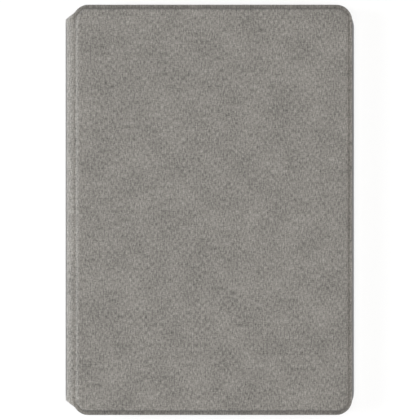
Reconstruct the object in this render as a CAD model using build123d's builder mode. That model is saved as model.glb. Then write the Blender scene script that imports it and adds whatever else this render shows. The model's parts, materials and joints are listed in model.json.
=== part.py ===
"""Tablet keyboard case, closed and lying on its back.

A moulded back case holds a 10.5-inch tablet and has a kickstand in its back. A keyboard cover
lies on top, joined to the case's long edge by a cloth spine and a magnetic dock strip.

Frame: Z up, origin at the centre of the footprint on the table. Y runs along the long side and
+X points away from the spine, so the keyboard's rows run along Y and its keys face down.
Every size is in millimetres.
"""

import os

from build123d import *

os.makedirs("parts", exist_ok=True)

# ---------------------------------------------------------------- driving dimensions
CASE_LENGTH = 254.0  # long side of the cover
COVER_DEPTH = 172.0  # from the spine crease to the cover's free edge
SPINE_BULGE = 5.4  # how far the closed spine stands out past the crease
CASE_OVERHANG = 1.3  # how far the back case shows past the cover's free edge
CLOSED_HEIGHT = 18.0  # table to the top of the cover
FABRIC = 0.8  # woven outer fabric with its backing
LINING = 0.6  # inner lining
KEY_PITCH = 17.2
KEY_UNITS = 14  # width of every row, in key pitches
FUNCTION_PITCH = 10.6  # depth taken by the half-height function row

# ---------------------------------------------------------------- plan view
TOTAL_DEPTH = SPINE_BULGE + COVER_DEPTH + CASE_OVERHANG
SPINE_X = -TOTAL_DEPTH / 2  # outermost line of the spine
CREASE_X = SPINE_X + SPINE_BULGE
COVER_EDGE_X = CREASE_X + COVER_DEPTH
CASE_EDGE_X = TOTAL_DEPTH / 2
HALF_LENGTH = CASE_LENGTH / 2
COVER_CORNER = 10.0  # free corners of the cover
CREASE_HALF = HALF_LENGTH - 5.0  # where the cover's cut corners meet the crease
CUT_DEPTH = 4.0  # length of the cut corner along X
CUT_BLEND = 7.0  # rounding where the cut corner meets the short side
SPINE_HALF = HALF_LENGTH - 9.2  # half length of the spine at its outermost line
FLANGE = 2.6  # pressed border of the cover outside its raised pad
CREASE_GAP = 0.1  # between pieces of different bodies that meet at a crease
FINE = 0.05  # clearance between glued or pressed pieces

# ---------------------------------------------------------------- heights, from the table up
KICKSTAND_TOP = 2.0
RECESS_TOP = 2.35
PLATE_TOP = 3.4
POCKET_FLOOR = 3.7
LIP_UNDER = 10.0
RIM_TOP = 10.8
PAD_BOTTOM = 11.1
DECK_FACE = 11.5
KEY_FACE = 11.7
WEB_FACE = 12.6
DECK_BACK = 12.7
KEY_BACK = 13.0
WEB_BACK = 13.1
MEMBRANE_FACE = 14.3
PLATE_FACE = 14.5
PLATE_BACK = 14.8
CHASSIS_FLOOR = 15.5
FLANGE_TOP = 17.1
FLANGE_UNDER = FLANGE_TOP - FABRIC
LINING_UNDER = FLANGE_UNDER - LINING
BOARD_TOP = CLOSED_HEIGHT - FABRIC

# ---------------------------------------------------------------- spine section
SPINE_RADIUS = SPINE_BULGE  # outer radius of both soft creases
DOCK_BOTTOM = CLOSED_HEIGHT - FLANGE_TOP  # lets the opened cover lie flat on the table
UPPER_CREASE_Z = FLANGE_TOP - SPINE_RADIUS
LOWER_CREASE_Z = DOCK_BOTTOM + SPINE_RADIUS
SPINE_LAYER = FABRIC + 0.5  # fabric and lining together
SPINE_BOARD = 0.5

# ---------------------------------------------------------------- back case
CASE_WALL = 1.5
DOCK_WALL = 2.4  # wall on the spine side, which holds the steel keepers
DOCK_FACE_X = -78.25  # the case's long wall on the spine side
CASE_HALF = HALF_LENGTH - 0.7
CASE_CORNER = 13.4
LIP = 1.8  # how far the rim reaches over the tablet
BUMPER_BOTTOM = 0.3
SEAT = 1.2  # wall of the bumper outside the back plate
RIM_ROUND = 0.9
BACK_ROUND = 1.0
FABRIC_GAP = 0.25  # between the back fabric and the bumper
LINING_GAP = 0.2  # round the tray lining
POCKET_MIN_X = DOCK_FACE_X + DOCK_WALL
POCKET_MAX_X = CASE_EDGE_X - CASE_WALL
POCKET_HALF = CASE_HALF - CASE_WALL
POCKET_MID_Z = (POCKET_FLOOR + LIP_UNDER) / 2

# ---------------------------------------------------------------- kickstand
AXIS_X = 6.0  # hinge axis of the kickstand
AXIS_Z = KICKSTAND_TOP / 2
STAND_MIN_X = -70.0
STAND_HALF = 112.0
STAND_END_X = AXIS_X + 0.3  # the kickstand's edge just past its hinge axis
STAND_GAP = 0.5
STAND_CORNER = 5.0
RECESS_EDGE_X = AXIS_X + 1.35  # the recess ends clear of the hinge barrels
NOTCH = (26.0, 9.0)  # finger notch, along Y and along X
FOOT_WIDTH = 1.2
FOOT_ROUND = 0.5
FOOT_HALF = 100.0
BARREL = 1.0  # outer radius of the hinge barrels
HINGE_PIN = 0.5
KNUCKLE = 12.0
KNUCKLE_GAP = 0.1  # at each end of a knuckle
BARREL_GAP = 0.3
HINGE_SPOTS = (-70.0, 70.0)
LEAF_BOTTOM, LEAF_TOP = 1.0, 1.6
LEAF_REACH = 10.0
LEAF_INSET = 0.1  # between the fixed leaf and the recess edge
LEAF_SETBACK = 1.4  # between the moving leaf and the hinge axis

# ---------------------------------------------------------------- keyboard
CHASSIS_MIN_X = CREASE_X + 4.0
CHASSIS_MAX_X = COVER_EDGE_X - FLANGE - 0.15
CHASSIS_HALF = HALF_LENGTH - FLANGE - 0.2
CHASSIS_CORNER = 7.5
CHASSIS_WALL = 1.2
ROWS_MIN_X = CHASSIS_MIN_X + 5.5
WELL_MARGIN = 1.2
KEY_GAP = 1.8  # between neighbouring caps
HOLE_CLEARANCE = 0.3
CAP_CORNER = 1.6
PAD_MIN_X, PAD_MAX_X, PAD_HALF = 30.0, 80.0, 48.0  # trackpad


def save(builder, label):
    """Names a finished piece and writes its STEP file."""
    builder.part.label = label
    export_step(builder.part, f"parts/{label}.step")


def middle(low, high):
    return (low + high) / 2


def cover_plan(height, inset, spine_inset):
    """Draws the cover's outline at a height: cut corners at the spine, round free corners."""
    left, right = CREASE_X + spine_inset, COVER_EDGE_X - inset
    side, corner = HALF_LENGTH - inset, CREASE_HALF - inset / 2
    with BuildSketch(Plane.XY.offset(height)) as plan:
        with BuildLine():
            Polyline(
                (left, -corner),
                (left, corner),
                (CREASE_X + CUT_DEPTH + inset / 2, side),
                (right, side),
                (right, -side),
                (CREASE_X + CUT_DEPTH + inset / 2, -side),
                close=True,
            )
        make_face()
        free = plan.vertices().group_by(Axis.X)[-1]
        fillet(free, COVER_CORNER - inset)
        cut_side = (CREASE_X + CUT_DEPTH / 2, CREASE_X + 2 * CUT_DEPTH)
        fillet(plan.vertices().filter_by_position(Axis.X, *cut_side), CUT_BLEND - inset)
    return plan.sketch


# ================================================================ back case
POCKET_MIDDLE_X = middle(POCKET_MIN_X, POCKET_MAX_X)
CASE_MIDDLE_X = middle(DOCK_FACE_X, CASE_EDGE_X)
CASE_DEPTH = CASE_EDGE_X - DOCK_FACE_X
CAMERA_SPOT = (72.0, 104.0)
CAMERA_SIZE = (12.0, 24.0)
CAMERA_TRIM = 1.6
CAMERA_BEVEL = 1.0
CAMERA_FACE = 0.2  # the trim ring sits this far up from the table
PORT_SIZE = (14.0, 5.6)
SPEAKER_SLOT = (3.6, 1.2)
SPEAKER_PITCH = 2.4
SPEAKER_COUNT = 7
BUTTON_SIZE = {"power_button": 11.0, "volume_up_button": 13.0, "volume_down_button": 13.0}
BUTTON_SPOT = {"power_button": 70.0, "volume_up_button": 50.0, "volume_down_button": 34.0}
BUTTON_HEIGHT = 3.0
BUTTON_CLEARANCE = 0.3
BUTTON_FLANGE = 0.7  # how far a button's collar reaches past its face
BUTTON_STAND_OUT = 0.5
BUTTON_SETBACK = 0.1  # from the tablet's side
BUTTON_ROUND = 0.35
COLLAR = 0.25
COLLAR_SEAT = 0.8
COLLAR_GAP = 0.1  # between the collar and the outer step of its seat
CONTACT_PITCH = 4.0
CONTACT_COUNT = 5
CONTACT_Z = 6.6
CONTACT_SLOT = (CONTACT_PITCH * CONTACT_COUNT + 3.0, 3.2)
KEEPER_SPOTS = (-88.0, -38.0, 38.0, 88.0)
KEEPER_LENGTH = 40.0
KEEPER_HEIGHT = 5.0
KEEPER_THICKNESS = 0.95
CATCH_SPOTS = ((-58.0, -84.0), (-58.0, 84.0))
CATCH_RADIUS = 3.0
CATCH_MAGNET = 0.7
CATCH_PLATE = 0.55
CATCH_DEPTH_PLATE, CATCH_DEPTH_STAND = CATCH_MAGNET + 0.1, CATCH_PLATE + FINE


def stadium_cut(plane, spots, length, width, depth):
    """Cuts round-ended slots into the part being built, both ways from a plane."""
    with BuildSketch(plane) as slots:
        with Locations(*spots):
            SlotOverall(length, width)
    extrude(slots.sketch, amount=depth, both=True, mode=Mode.SUBTRACT)


def camera_window(low, high, grow=0.0):
    """Cuts the camera window out of the part being built."""
    with BuildSketch(Plane.XY.offset(low)) as window:
        with Locations(CAMERA_SPOT):
            SlotOverall(CAMERA_SIZE[1] + grow, CAMERA_SIZE[0] + grow, rotation=90)
    extrude(window.sketch, amount=high - low, mode=Mode.SUBTRACT)


SHORT_SIDE_PLUS = Plane(origin=(0, CASE_HALF, 0), x_dir=(1, 0, 0), z_dir=(0, -1, 0))
SHORT_SIDE_MINUS = Plane(origin=(0, -CASE_HALF, 0), x_dir=(1, 0, 0), z_dir=(0, -1, 0))
DOCK_SIDE = Plane(origin=(DOCK_FACE_X, 0, 0), x_dir=(0, 1, 0), z_dir=(1, 0, 0))
SPEAKERS = ((SHORT_SIDE_MINUS, (-50.0, 60.0)), (SHORT_SIDE_PLUS, (-50.0, -12.0)))

with BuildPart() as bumper_frame:
    with BuildSketch(Plane.XY.offset(BUMPER_BOTTOM)):
        with Locations((CASE_MIDDLE_X, 0)):
            RectangleRounded(CASE_DEPTH, 2 * CASE_HALF, CASE_CORNER)
    extrude(amount=RIM_TOP - BUMPER_BOTTOM)
    fillet(bumper_frame.faces().sort_by(Axis.Z)[-1].edges(), RIM_ROUND)
    fillet(bumper_frame.faces().sort_by(Axis.Z)[0].edges(), BACK_ROUND)
    with BuildSketch(Plane.XY.offset(PLATE_TOP)):
        with Locations((POCKET_MIDDLE_X, 0)):
            RectangleRounded(POCKET_MAX_X - POCKET_MIN_X, 2 * POCKET_HALF, CASE_CORNER - CASE_WALL)
    extrude(amount=LIP_UNDER - PLATE_TOP, mode=Mode.SUBTRACT)
    with BuildSketch(Plane.XY.offset(LIP_UNDER)):
        with Locations((POCKET_MIDDLE_X, 0)):
            RectangleRounded(
                POCKET_MAX_X - POCKET_MIN_X - 2 * LIP,
                2 * (POCKET_HALF - LIP),
                CASE_CORNER - CASE_WALL - LIP,
            )
    extrude(amount=RIM_TOP - LIP_UNDER, mode=Mode.SUBTRACT)
    with BuildSketch(Plane.XY.offset(BUMPER_BOTTOM)):
        with Locations((CASE_MIDDLE_X, 0)):
            RectangleRounded(CASE_DEPTH - 2 * SEAT, 2 * (CASE_HALF - SEAT), CASE_CORNER - SEAT)
    extrude(amount=PLATE_TOP - BUMPER_BOTTOM, mode=Mode.SUBTRACT)
    # charging port in the short side at -Y
    stadium_cut(SHORT_SIDE_MINUS, [(CASE_MIDDLE_X, POCKET_MID_Z)], *PORT_SIZE, 2 * CASE_WALL)
    # speaker slots in both short sides
    for side, spots in SPEAKERS:
        with BuildSketch(side):
            with Locations(*[(spot, POCKET_MID_Z) for spot in spots]):
                with GridLocations(SPEAKER_PITCH, 0, SPEAKER_COUNT, 1):
                    SlotOverall(*SPEAKER_SLOT, rotation=90)
        extrude(amount=2 * CASE_WALL, both=True, mode=Mode.SUBTRACT)
    # button openings in the short side at +Y
    for name, spot in BUTTON_SPOT.items():
        stadium_cut(
            SHORT_SIDE_PLUS,
            [(spot, POCKET_MID_Z)],
            BUTTON_SIZE[name] + 2 * BUTTON_CLEARANCE,
            BUTTON_HEIGHT + 2 * BUTTON_CLEARANCE,
            2 * CASE_WALL,
        )
        # seat for the button's collar, open towards the tablet
        with BuildSketch(SHORT_SIDE_PLUS.offset(CASE_WALL - COLLAR_SEAT)):
            with Locations((spot, POCKET_MID_Z)):
                SlotOverall(
                    BUTTON_SIZE[name] + 2 * (BUTTON_FLANGE + BUTTON_CLEARANCE),
                    BUTTON_HEIGHT + 2 * (BUTTON_FLANGE + BUTTON_CLEARANCE),
                )
        extrude(amount=COLLAR_SEAT, mode=Mode.SUBTRACT)
    # slot that the keyboard's spring contacts pass through
    stadium_cut(DOCK_SIDE, [(0, CONTACT_Z)], *CONTACT_SLOT, 2 * DOCK_WALL)
    # seats for the steel keepers, open towards the tablet
    with BuildSketch(Plane(origin=(POCKET_MIN_X, 0, 0), x_dir=(0, 1, 0), z_dir=(1, 0, 0))):
        with Locations(*[(y, CONTACT_Z) for y in KEEPER_SPOTS]):
            Rectangle(KEEPER_LENGTH, KEEPER_HEIGHT)
    extrude(amount=-KEEPER_THICKNESS - FINE, mode=Mode.SUBTRACT)
save(bumper_frame, "bumper_frame")

with BuildPart() as dock_keepers:
    with BuildSketch(Plane(origin=(POCKET_MIN_X, 0, 0), x_dir=(0, 1, 0), z_dir=(1, 0, 0))):
        with Locations(*[(y, CONTACT_Z) for y in KEEPER_SPOTS]):
            Rectangle(KEEPER_LENGTH - 2 * FINE, KEEPER_HEIGHT - 2 * FINE)
    extrude(amount=-KEEPER_THICKNESS)
save(dock_keepers, "dock_keepers")


def case_plan(inset):
    """Draws the inside of the bumper's seat, moved in by inset."""
    with Locations((CASE_MIDDLE_X, 0)):
        RectangleRounded(
            CASE_DEPTH - 2 * (SEAT + inset),
            2 * (CASE_HALF - SEAT - inset),
            CASE_CORNER - SEAT - inset,
        )


def kickstand_recess(low, high, gap):
    """Cuts the kickstand's seat, with a finger notch at its free edge."""
    with BuildSketch(Plane.XY.offset(low)) as recess:
        with Locations((middle(STAND_MIN_X - gap, RECESS_EDGE_X), 0)):
            Rectangle(RECESS_EDGE_X - STAND_MIN_X + gap, 2 * (STAND_HALF + gap))
        with Locations((STAND_MIN_X, 0)):
            SlotOverall(*NOTCH, rotation=90)
    extrude(recess.sketch, amount=high - low, mode=Mode.SUBTRACT)


def hinge_leaf_seats(low, high, start, reach):
    """Cuts the seats of both hinge leaves, from start along X."""
    with BuildSketch(Plane.XY.offset(low)) as seats:
        with Locations(*[(start + reach / 2, y) for y in HINGE_SPOTS]):
            Rectangle(abs(reach), 3 * KNUCKLE + 4 * KNUCKLE_GAP)
    extrude(seats.sketch, amount=high - low, mode=Mode.SUBTRACT)


with BuildPart() as back_plate:
    with BuildSketch(Plane.XY.offset(FABRIC)):
        case_plan(FINE)
    extrude(amount=PLATE_TOP - FABRIC)
    kickstand_recess(FABRIC, RECESS_TOP, STAND_GAP)
    hinge_leaf_seats(FABRIC, LEAF_TOP + FINE, RECESS_EDGE_X - BARREL, LEAF_REACH + 1.2 * BARREL)
    with BuildSketch(Plane.XY.offset(RECESS_TOP)):
        with Locations(*CATCH_SPOTS):
            Circle(CATCH_RADIUS + FINE)
    extrude(amount=CATCH_DEPTH_PLATE, mode=Mode.SUBTRACT)
    camera_window(FABRIC, PLATE_TOP)
save(back_plate, "back_plate")

with BuildPart() as back_fabric:
    with BuildSketch():
        case_plan(FABRIC_GAP)
    extrude(amount=FABRIC)
    kickstand_recess(0, FABRIC, STAND_GAP)
    camera_window(0, FABRIC, grow=2 * FINE)
save(back_fabric, "back_fabric")

with BuildPart() as tray_lining:
    with BuildSketch(Plane.XY.offset(PLATE_TOP)):
        with Locations((POCKET_MIDDLE_X, 0)):
            RectangleRounded(
                POCKET_MAX_X - POCKET_MIN_X - 2 * LINING_GAP,
                2 * (POCKET_HALF - LINING_GAP),
                CASE_CORNER - CASE_WALL - LINING_GAP,
            )
    extrude(amount=POCKET_FLOOR - PLATE_TOP)
    camera_window(PLATE_TOP, POCKET_FLOOR, grow=2 * FINE)
save(tray_lining, "tray_lining")

with BuildPart() as camera_ring:
    with BuildSketch(Plane.XY.offset(CAMERA_FACE)):
        with Locations(CAMERA_SPOT):
            SlotOverall(CAMERA_SIZE[1] - FINE, CAMERA_SIZE[0] - FINE, rotation=90)
            SlotOverall(
                CAMERA_SIZE[1] - 2 * CAMERA_TRIM,
                CAMERA_SIZE[0] - 2 * CAMERA_TRIM,
                rotation=90,
                mode=Mode.SUBTRACT,
            )
    extrude(amount=POCKET_FLOOR - CAMERA_FACE)
    chamfer(camera_ring.faces().sort_by(Axis.Z)[0].inner_wires()[0].edges(), CAMERA_BEVEL)
save(camera_ring, "camera_ring")

with BuildPart() as catch_magnets:
    with BuildSketch(Plane.XY.offset(RECESS_TOP + FINE)):
        with Locations(*CATCH_SPOTS):
            Circle(CATCH_RADIUS)
    extrude(amount=CATCH_MAGNET)
save(catch_magnets, "catch_magnets")

# ---------------------------------------------------------------- side buttons
for label, spot in BUTTON_SPOT.items():
    with BuildPart() as side_button:
        with BuildSketch(SHORT_SIDE_PLUS):
            with Locations((spot, POCKET_MID_Z)):
                SlotOverall(BUTTON_SIZE[label], BUTTON_HEIGHT)
        extrude(amount=CASE_WALL - BUTTON_SETBACK)
        extrude(side_button.faces().sort_by(Axis.Y)[-1], amount=BUTTON_STAND_OUT)
        fillet(side_button.faces().sort_by(Axis.Y)[-1].edges(), BUTTON_ROUND)
        with BuildSketch(SHORT_SIDE_PLUS.offset(CASE_WALL - COLLAR_SEAT + COLLAR_GAP)):
            with Locations((spot, POCKET_MID_Z)):
                SlotOverall(
                    BUTTON_SIZE[label] + 2 * BUTTON_FLANGE,
                    BUTTON_HEIGHT + 2 * BUTTON_FLANGE,
                )
        extrude(amount=COLLAR)
    save(side_button, label)

# ================================================================ kickstand
FIXED_OFFSETS = (-KNUCKLE, KNUCKLE)  # knuckles of the fixed leaf, each side of the moving one


def hinge_leaves(offsets, start, reach):
    """Builds both hinges' leaves: barrels at the given offsets along Y and a flat leaf."""
    for y in HINGE_SPOTS:
        for offset in offsets:
            with BuildSketch(Plane.XZ.offset(-(y + offset + KNUCKLE / 2 - KNUCKLE_GAP))) as knuckle:
                with Locations((AXIS_X, AXIS_Z)):
                    Circle(BARREL)
                with Locations((middle(AXIS_X, start), middle(LEAF_BOTTOM, LEAF_TOP))):
                    Rectangle(abs(start - AXIS_X), LEAF_TOP - LEAF_BOTTOM)
                with Locations((AXIS_X, AXIS_Z)):
                    Circle(HINGE_PIN + FINE, mode=Mode.SUBTRACT)
            extrude(knuckle.sketch, amount=KNUCKLE - 2 * KNUCKLE_GAP)
    with BuildSketch(Plane.XY.offset(LEAF_BOTTOM)) as leaves:
        with Locations(*[(start + reach / 2, y) for y in HINGE_SPOTS]):
            Rectangle(abs(reach), 3 * KNUCKLE - 2 * KNUCKLE_GAP)
    extrude(leaves.sketch, amount=LEAF_TOP - LEAF_BOTTOM)


with BuildPart() as hinge_brackets:
    hinge_leaves(FIXED_OFFSETS, RECESS_EDGE_X - LEAF_INSET, LEAF_REACH)
save(hinge_brackets, "hinge_brackets")

with BuildPart() as hinge_pins:
    with BuildSketch(Plane.XZ.offset(-(HINGE_SPOTS[0] + 1.5 * KNUCKLE))):
        with Locations((AXIS_X, AXIS_Z)):
            Circle(HINGE_PIN)
    extrude(amount=3 * KNUCKLE)
    mirror(about=Plane.XZ)
save(hinge_pins, "hinge_pins")

with BuildPart() as kickstand_leaves:
    hinge_leaves((0.0,), AXIS_X - LEAF_SETBACK, -LEAF_REACH)
save(kickstand_leaves, "kickstand_leaves")


def kickstand_sheet(low, high):
    """Extrudes the kickstand's outline, notched round the fixed knuckles."""
    with BuildSketch(Plane.XY.offset(low)) as sheet:
        with Locations((middle(STAND_MIN_X, STAND_END_X), 0)):
            Rectangle(STAND_END_X - STAND_MIN_X, 2 * STAND_HALF)
        fillet(sheet.vertices().group_by(Axis.X)[0], STAND_CORNER)
        with Locations(*[(AXIS_X, y) for y in HINGE_SPOTS]):
            Rectangle(2 * (BARREL + BARREL_GAP), 3 * KNUCKLE + 2 * BARREL_GAP, mode=Mode.SUBTRACT)
    extrude(sheet.sketch, amount=high - low)


with BuildPart() as kickstand_plate:
    kickstand_sheet(FABRIC, KICKSTAND_TOP)
    hinge_leaf_seats(FABRIC, LEAF_TOP + FINE, AXIS_X - BARREL, -(LEAF_REACH + 0.7 * BARREL))
    with BuildSketch(Plane.XY.offset(KICKSTAND_TOP)):
        with Locations(*CATCH_SPOTS):
            Circle(CATCH_RADIUS + FINE)
    extrude(amount=-CATCH_DEPTH_STAND, mode=Mode.SUBTRACT)
    with BuildSketch(Plane.XY.offset(FABRIC)):
        with Locations((STAND_MIN_X, 0)):
            Rectangle(2 * FOOT_WIDTH, 2 * FOOT_HALF)
    extrude(amount=KICKSTAND_TOP - FABRIC, mode=Mode.SUBTRACT)
save(kickstand_plate, "kickstand_plate")

with BuildPart() as kickstand_fabric:
    kickstand_sheet(0, FABRIC)
save(kickstand_fabric, "kickstand_fabric")

with BuildPart() as kickstand_foot:
    with BuildSketch(Plane.XY.offset(FABRIC)):
        with Locations((STAND_MIN_X + FOOT_WIDTH / 2, 0)):
            Rectangle(FOOT_WIDTH, 2 * (FOOT_HALF - 2 * FINE))
    extrude(amount=KICKSTAND_TOP - FABRIC)
    tip_edges = kickstand_foot.edges().filter_by(Axis.Y).group_by(Axis.X)[0]
    fillet(tip_edges.sort_by(Axis.Z)[-1:], FOOT_ROUND)
save(kickstand_foot, "kickstand_foot")

with BuildPart() as catch_plates:
    with BuildSketch(Plane.XY.offset(KICKSTAND_TOP)):
        with Locations(*CATCH_SPOTS):
            Circle(CATCH_RADIUS)
    extrude(amount=-CATCH_PLATE)
save(catch_plates, "catch_plates")

# ================================================================ dock strip
DOCK_GAP = 0.25  # between the dock strip and the case
DOCK_BAR_WIDTH = 3.8
DOCK_BAR_MAX_X = DOCK_FACE_X - DOCK_GAP
DOCK_BAR_MIN_X = DOCK_BAR_MAX_X - DOCK_BAR_WIDTH
DOCK_BAR_CORNER = 1.5
DOCK_FABRIC_CORNER = 3.0
DOCK_BAR_BOTTOM = DOCK_BOTTOM + FABRIC
DOCK_BAR_TOP = 9.3
DOCK_HALF = 118.0
DOCK_LINING = 0.5
DOCK_START_X = CREASE_X + CREASE_GAP
DOCK_MAGNET = (3.0, 5.0)  # thickness along X, height
CONTACT_RADIUS = 0.7
CONTACT_TIP_X = POCKET_MIN_X + 0.3  # the tips reach just past the wall to the tablet
CONTACT_LENGTH = 4.9
CONTACT_TIP = 0.5
CONTACT_WELL = 3.2
CONTACT_SPOTS = [
    (CONTACT_PITCH * (i - (CONTACT_COUNT - 1) / 2), CONTACT_Z) for i in range(CONTACT_COUNT)
]
DOCK_INNER_FACE = Plane(origin=(DOCK_BAR_MAX_X, 0, 0), x_dir=(0, 1, 0), z_dir=(1, 0, 0))
DOCK_OUTER_FACE = Plane(origin=(DOCK_BAR_MIN_X, 0, 0), x_dir=(0, 1, 0), z_dir=(1, 0, 0))

with BuildPart() as dock_bar:
    with BuildSketch(DOCK_OUTER_FACE):
        with Locations((0, middle(DOCK_BAR_BOTTOM, DOCK_BAR_TOP))):
            RectangleRounded(2 * DOCK_HALF, DOCK_BAR_TOP - DOCK_BAR_BOTTOM, DOCK_BAR_CORNER)
    extrude(amount=DOCK_BAR_MAX_X - DOCK_BAR_MIN_X)
    with BuildSketch(DOCK_OUTER_FACE):
        with Locations(*[(y, CONTACT_Z) for y in KEEPER_SPOTS]):
            Rectangle(KEEPER_LENGTH, DOCK_MAGNET[1] + 2 * FINE)
    extrude(amount=DOCK_MAGNET[0] + FINE, mode=Mode.SUBTRACT)
    with BuildSketch(DOCK_INNER_FACE):
        with Locations(*CONTACT_SPOTS):
            Circle(CONTACT_RADIUS + FINE)
    extrude(amount=-CONTACT_WELL, mode=Mode.SUBTRACT)
save(dock_bar, "dock_bar")

with BuildPart() as dock_magnets:
    with BuildSketch(DOCK_OUTER_FACE):
        with Locations(*[(y, CONTACT_Z) for y in KEEPER_SPOTS]):
            Rectangle(KEEPER_LENGTH - 2 * FINE, DOCK_MAGNET[1])
    extrude(amount=DOCK_MAGNET[0])
save(dock_magnets, "dock_magnets")

with BuildPart() as contact_pins:
    with BuildSketch(Plane(origin=(CONTACT_TIP_X, 0, 0), x_dir=(0, 1, 0), z_dir=(1, 0, 0))):
        with Locations(*CONTACT_SPOTS):
            Circle(CONTACT_RADIUS)
    extrude(amount=-CONTACT_LENGTH)
    fillet(contact_pins.faces().group_by(Axis.X)[-1].edges(), CONTACT_TIP)
save(contact_pins, "contact_pins")

with BuildPart() as dock_fabric:
    with BuildSketch(Plane.XY.offset(DOCK_BOTTOM)):
        with Locations((middle(DOCK_START_X, DOCK_BAR_MAX_X), 0)):
            Rectangle(DOCK_BAR_MAX_X - DOCK_START_X, 2 * CREASE_HALF)
    extrude(amount=FABRIC)
    fillet(dock_fabric.edges().filter_by(Axis.Z).group_by(Axis.X)[-1], DOCK_FABRIC_CORNER)
save(dock_fabric, "dock_fabric")

with BuildPart() as dock_lining:
    with BuildSketch(Plane.XZ.offset(DOCK_HALF)):
        with BuildLine():
            Polyline(
                (DOCK_START_X, DOCK_BAR_BOTTOM),
                (DOCK_START_X, DOCK_BAR_BOTTOM + DOCK_LINING),
                (DOCK_BAR_MIN_X - DOCK_LINING, DOCK_BAR_BOTTOM + DOCK_LINING),
                (DOCK_BAR_MIN_X - DOCK_LINING, DOCK_BAR_TOP),
                (DOCK_BAR_MIN_X, DOCK_BAR_TOP),
                (DOCK_BAR_MIN_X, DOCK_BAR_BOTTOM),
                close=True,
            )
        make_face()
    extrude(amount=-2 * DOCK_HALF)
save(dock_lining, "dock_lining")

# ================================================================ spine
SPINE_BOARD_X = SPINE_X + FABRIC
SPINE_LINING_X = SPINE_BOARD_X + SPINE_BOARD
FLEX_HALF = 9.0
FLEX_THICKNESS = 0.2
FLEX_GAP = 1.0  # beside the flexible cable


def spine_ends():
    """Trims the strip being built to the spine's plan, which narrows towards its outer line."""
    with BuildSketch() as plan:
        with BuildLine():
            Polyline(
                (SPINE_X, -SPINE_HALF),
                (SPINE_X, SPINE_HALF),
                (CREASE_X, CREASE_HALF),
                (CREASE_X, -CREASE_HALF),
                close=True,
            )
        make_face()
    extrude(plan.sketch, amount=CLOSED_HEIGHT, mode=Mode.INTERSECT)


def spine_layer(label, x, thickness, slot=0.0):
    """Builds one flat layer of the upright part of the spine."""
    with BuildPart() as layer:
        with BuildSketch(Plane.XY.offset(LOWER_CREASE_Z)):
            with Locations((x + thickness / 2, 0)):
                Rectangle(thickness, CASE_LENGTH)
                if slot:
                    Rectangle(thickness, slot, mode=Mode.SUBTRACT)
        extrude(amount=UPPER_CREASE_Z - LOWER_CREASE_Z)
        spine_ends()
    save(layer, label)


def crease(label, centre_z, start_angle):
    """Builds one soft quarter-round of the spine about a centre below or above the crease line."""
    with BuildPart() as strip:
        with BuildSketch(Plane.XZ.offset(HALF_LENGTH)):
            with BuildLine():
                centre = (CREASE_X, centre_z)
                outer = CenterArc(centre, SPINE_RADIUS, start_angle, 90)
                inner = CenterArc(centre, SPINE_RADIUS - SPINE_LAYER, start_angle, 90)
                Line(outer @ 0, inner @ 0)
                Line(outer @ 1, inner @ 1)
            make_face()
        extrude(amount=-CASE_LENGTH)
        spine_ends()
    save(strip, label)


spine_layer("spine_fabric", SPINE_X, FABRIC)
spine_layer("spine_board", SPINE_BOARD_X, SPINE_BOARD, slot=2 * FLEX_HALF)
spine_layer("spine_lining", SPINE_LINING_X, SPINE_LAYER - FABRIC)

with BuildPart() as spine_flex:
    with BuildSketch(Plane.XY.offset(LOWER_CREASE_Z)):
        with Locations((SPINE_BOARD_X + SPINE_BOARD / 2, 0)):
            Rectangle(FLEX_THICKNESS, 2 * (FLEX_HALF - FLEX_GAP))
    extrude(amount=UPPER_CREASE_Z - LOWER_CREASE_Z)
save(spine_flex, "spine_flex")

crease("cover_crease", UPPER_CREASE_Z, 90)
crease("dock_crease", LOWER_CREASE_Z, 180)

# ================================================================ keyboard cover
SPINE_SIDE_INSET = 1.0  # the raised pad starts this far from the spine crease
PAD_SHOULDER = 0.7
LINING_EDGE = 0.1  # the lining stops this far inside the fabric's edge

with BuildPart() as cover_fabric:
    extrude(cover_plan(FLANGE_UNDER, 0, CREASE_GAP), amount=FABRIC)
    extrude(cover_plan(FLANGE_TOP, FLANGE, SPINE_SIDE_INSET), amount=CLOSED_HEIGHT - FLANGE_TOP)
    fillet(cover_fabric.faces().sort_by(Axis.Z)[-1].edges(), PAD_SHOULDER)
    extrude(
        cover_plan(FLANGE_UNDER, FLANGE + FABRIC, SPINE_SIDE_INSET + FABRIC),
        amount=BOARD_TOP - FLANGE_UNDER,
        mode=Mode.SUBTRACT,
    )
save(cover_fabric, "cover_fabric")

with BuildPart() as cover_board:
    extrude(
        cover_plan(FLANGE_UNDER, FLANGE + FABRIC + FINE, SPINE_SIDE_INSET + FABRIC + FINE),
        amount=BOARD_TOP - FLANGE_UNDER,
    )
save(cover_board, "cover_board")

CHASSIS_DEPTH = CHASSIS_MAX_X - CHASSIS_MIN_X
CHASSIS_MIDDLE_X = middle(CHASSIS_MIN_X, CHASSIS_MAX_X)


def chassis_plan(height, inset):
    """Draws the keyboard module's rounded outline at a height, moved in by inset."""
    with BuildSketch(Plane.XY.offset(height)) as plan:
        with Locations((CHASSIS_MIDDLE_X, 0)):
            RectangleRounded(
                CHASSIS_DEPTH - 2 * inset, 2 * (CHASSIS_HALF - inset), CHASSIS_CORNER - inset
            )
    return plan.sketch


with BuildPart() as cover_lining:
    extrude(cover_plan(LINING_UNDER, LINING_EDGE, CREASE_GAP), amount=LINING)
    extrude(chassis_plan(LINING_UNDER, -FINE), amount=LINING, mode=Mode.SUBTRACT)
save(cover_lining, "cover_lining")

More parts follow.
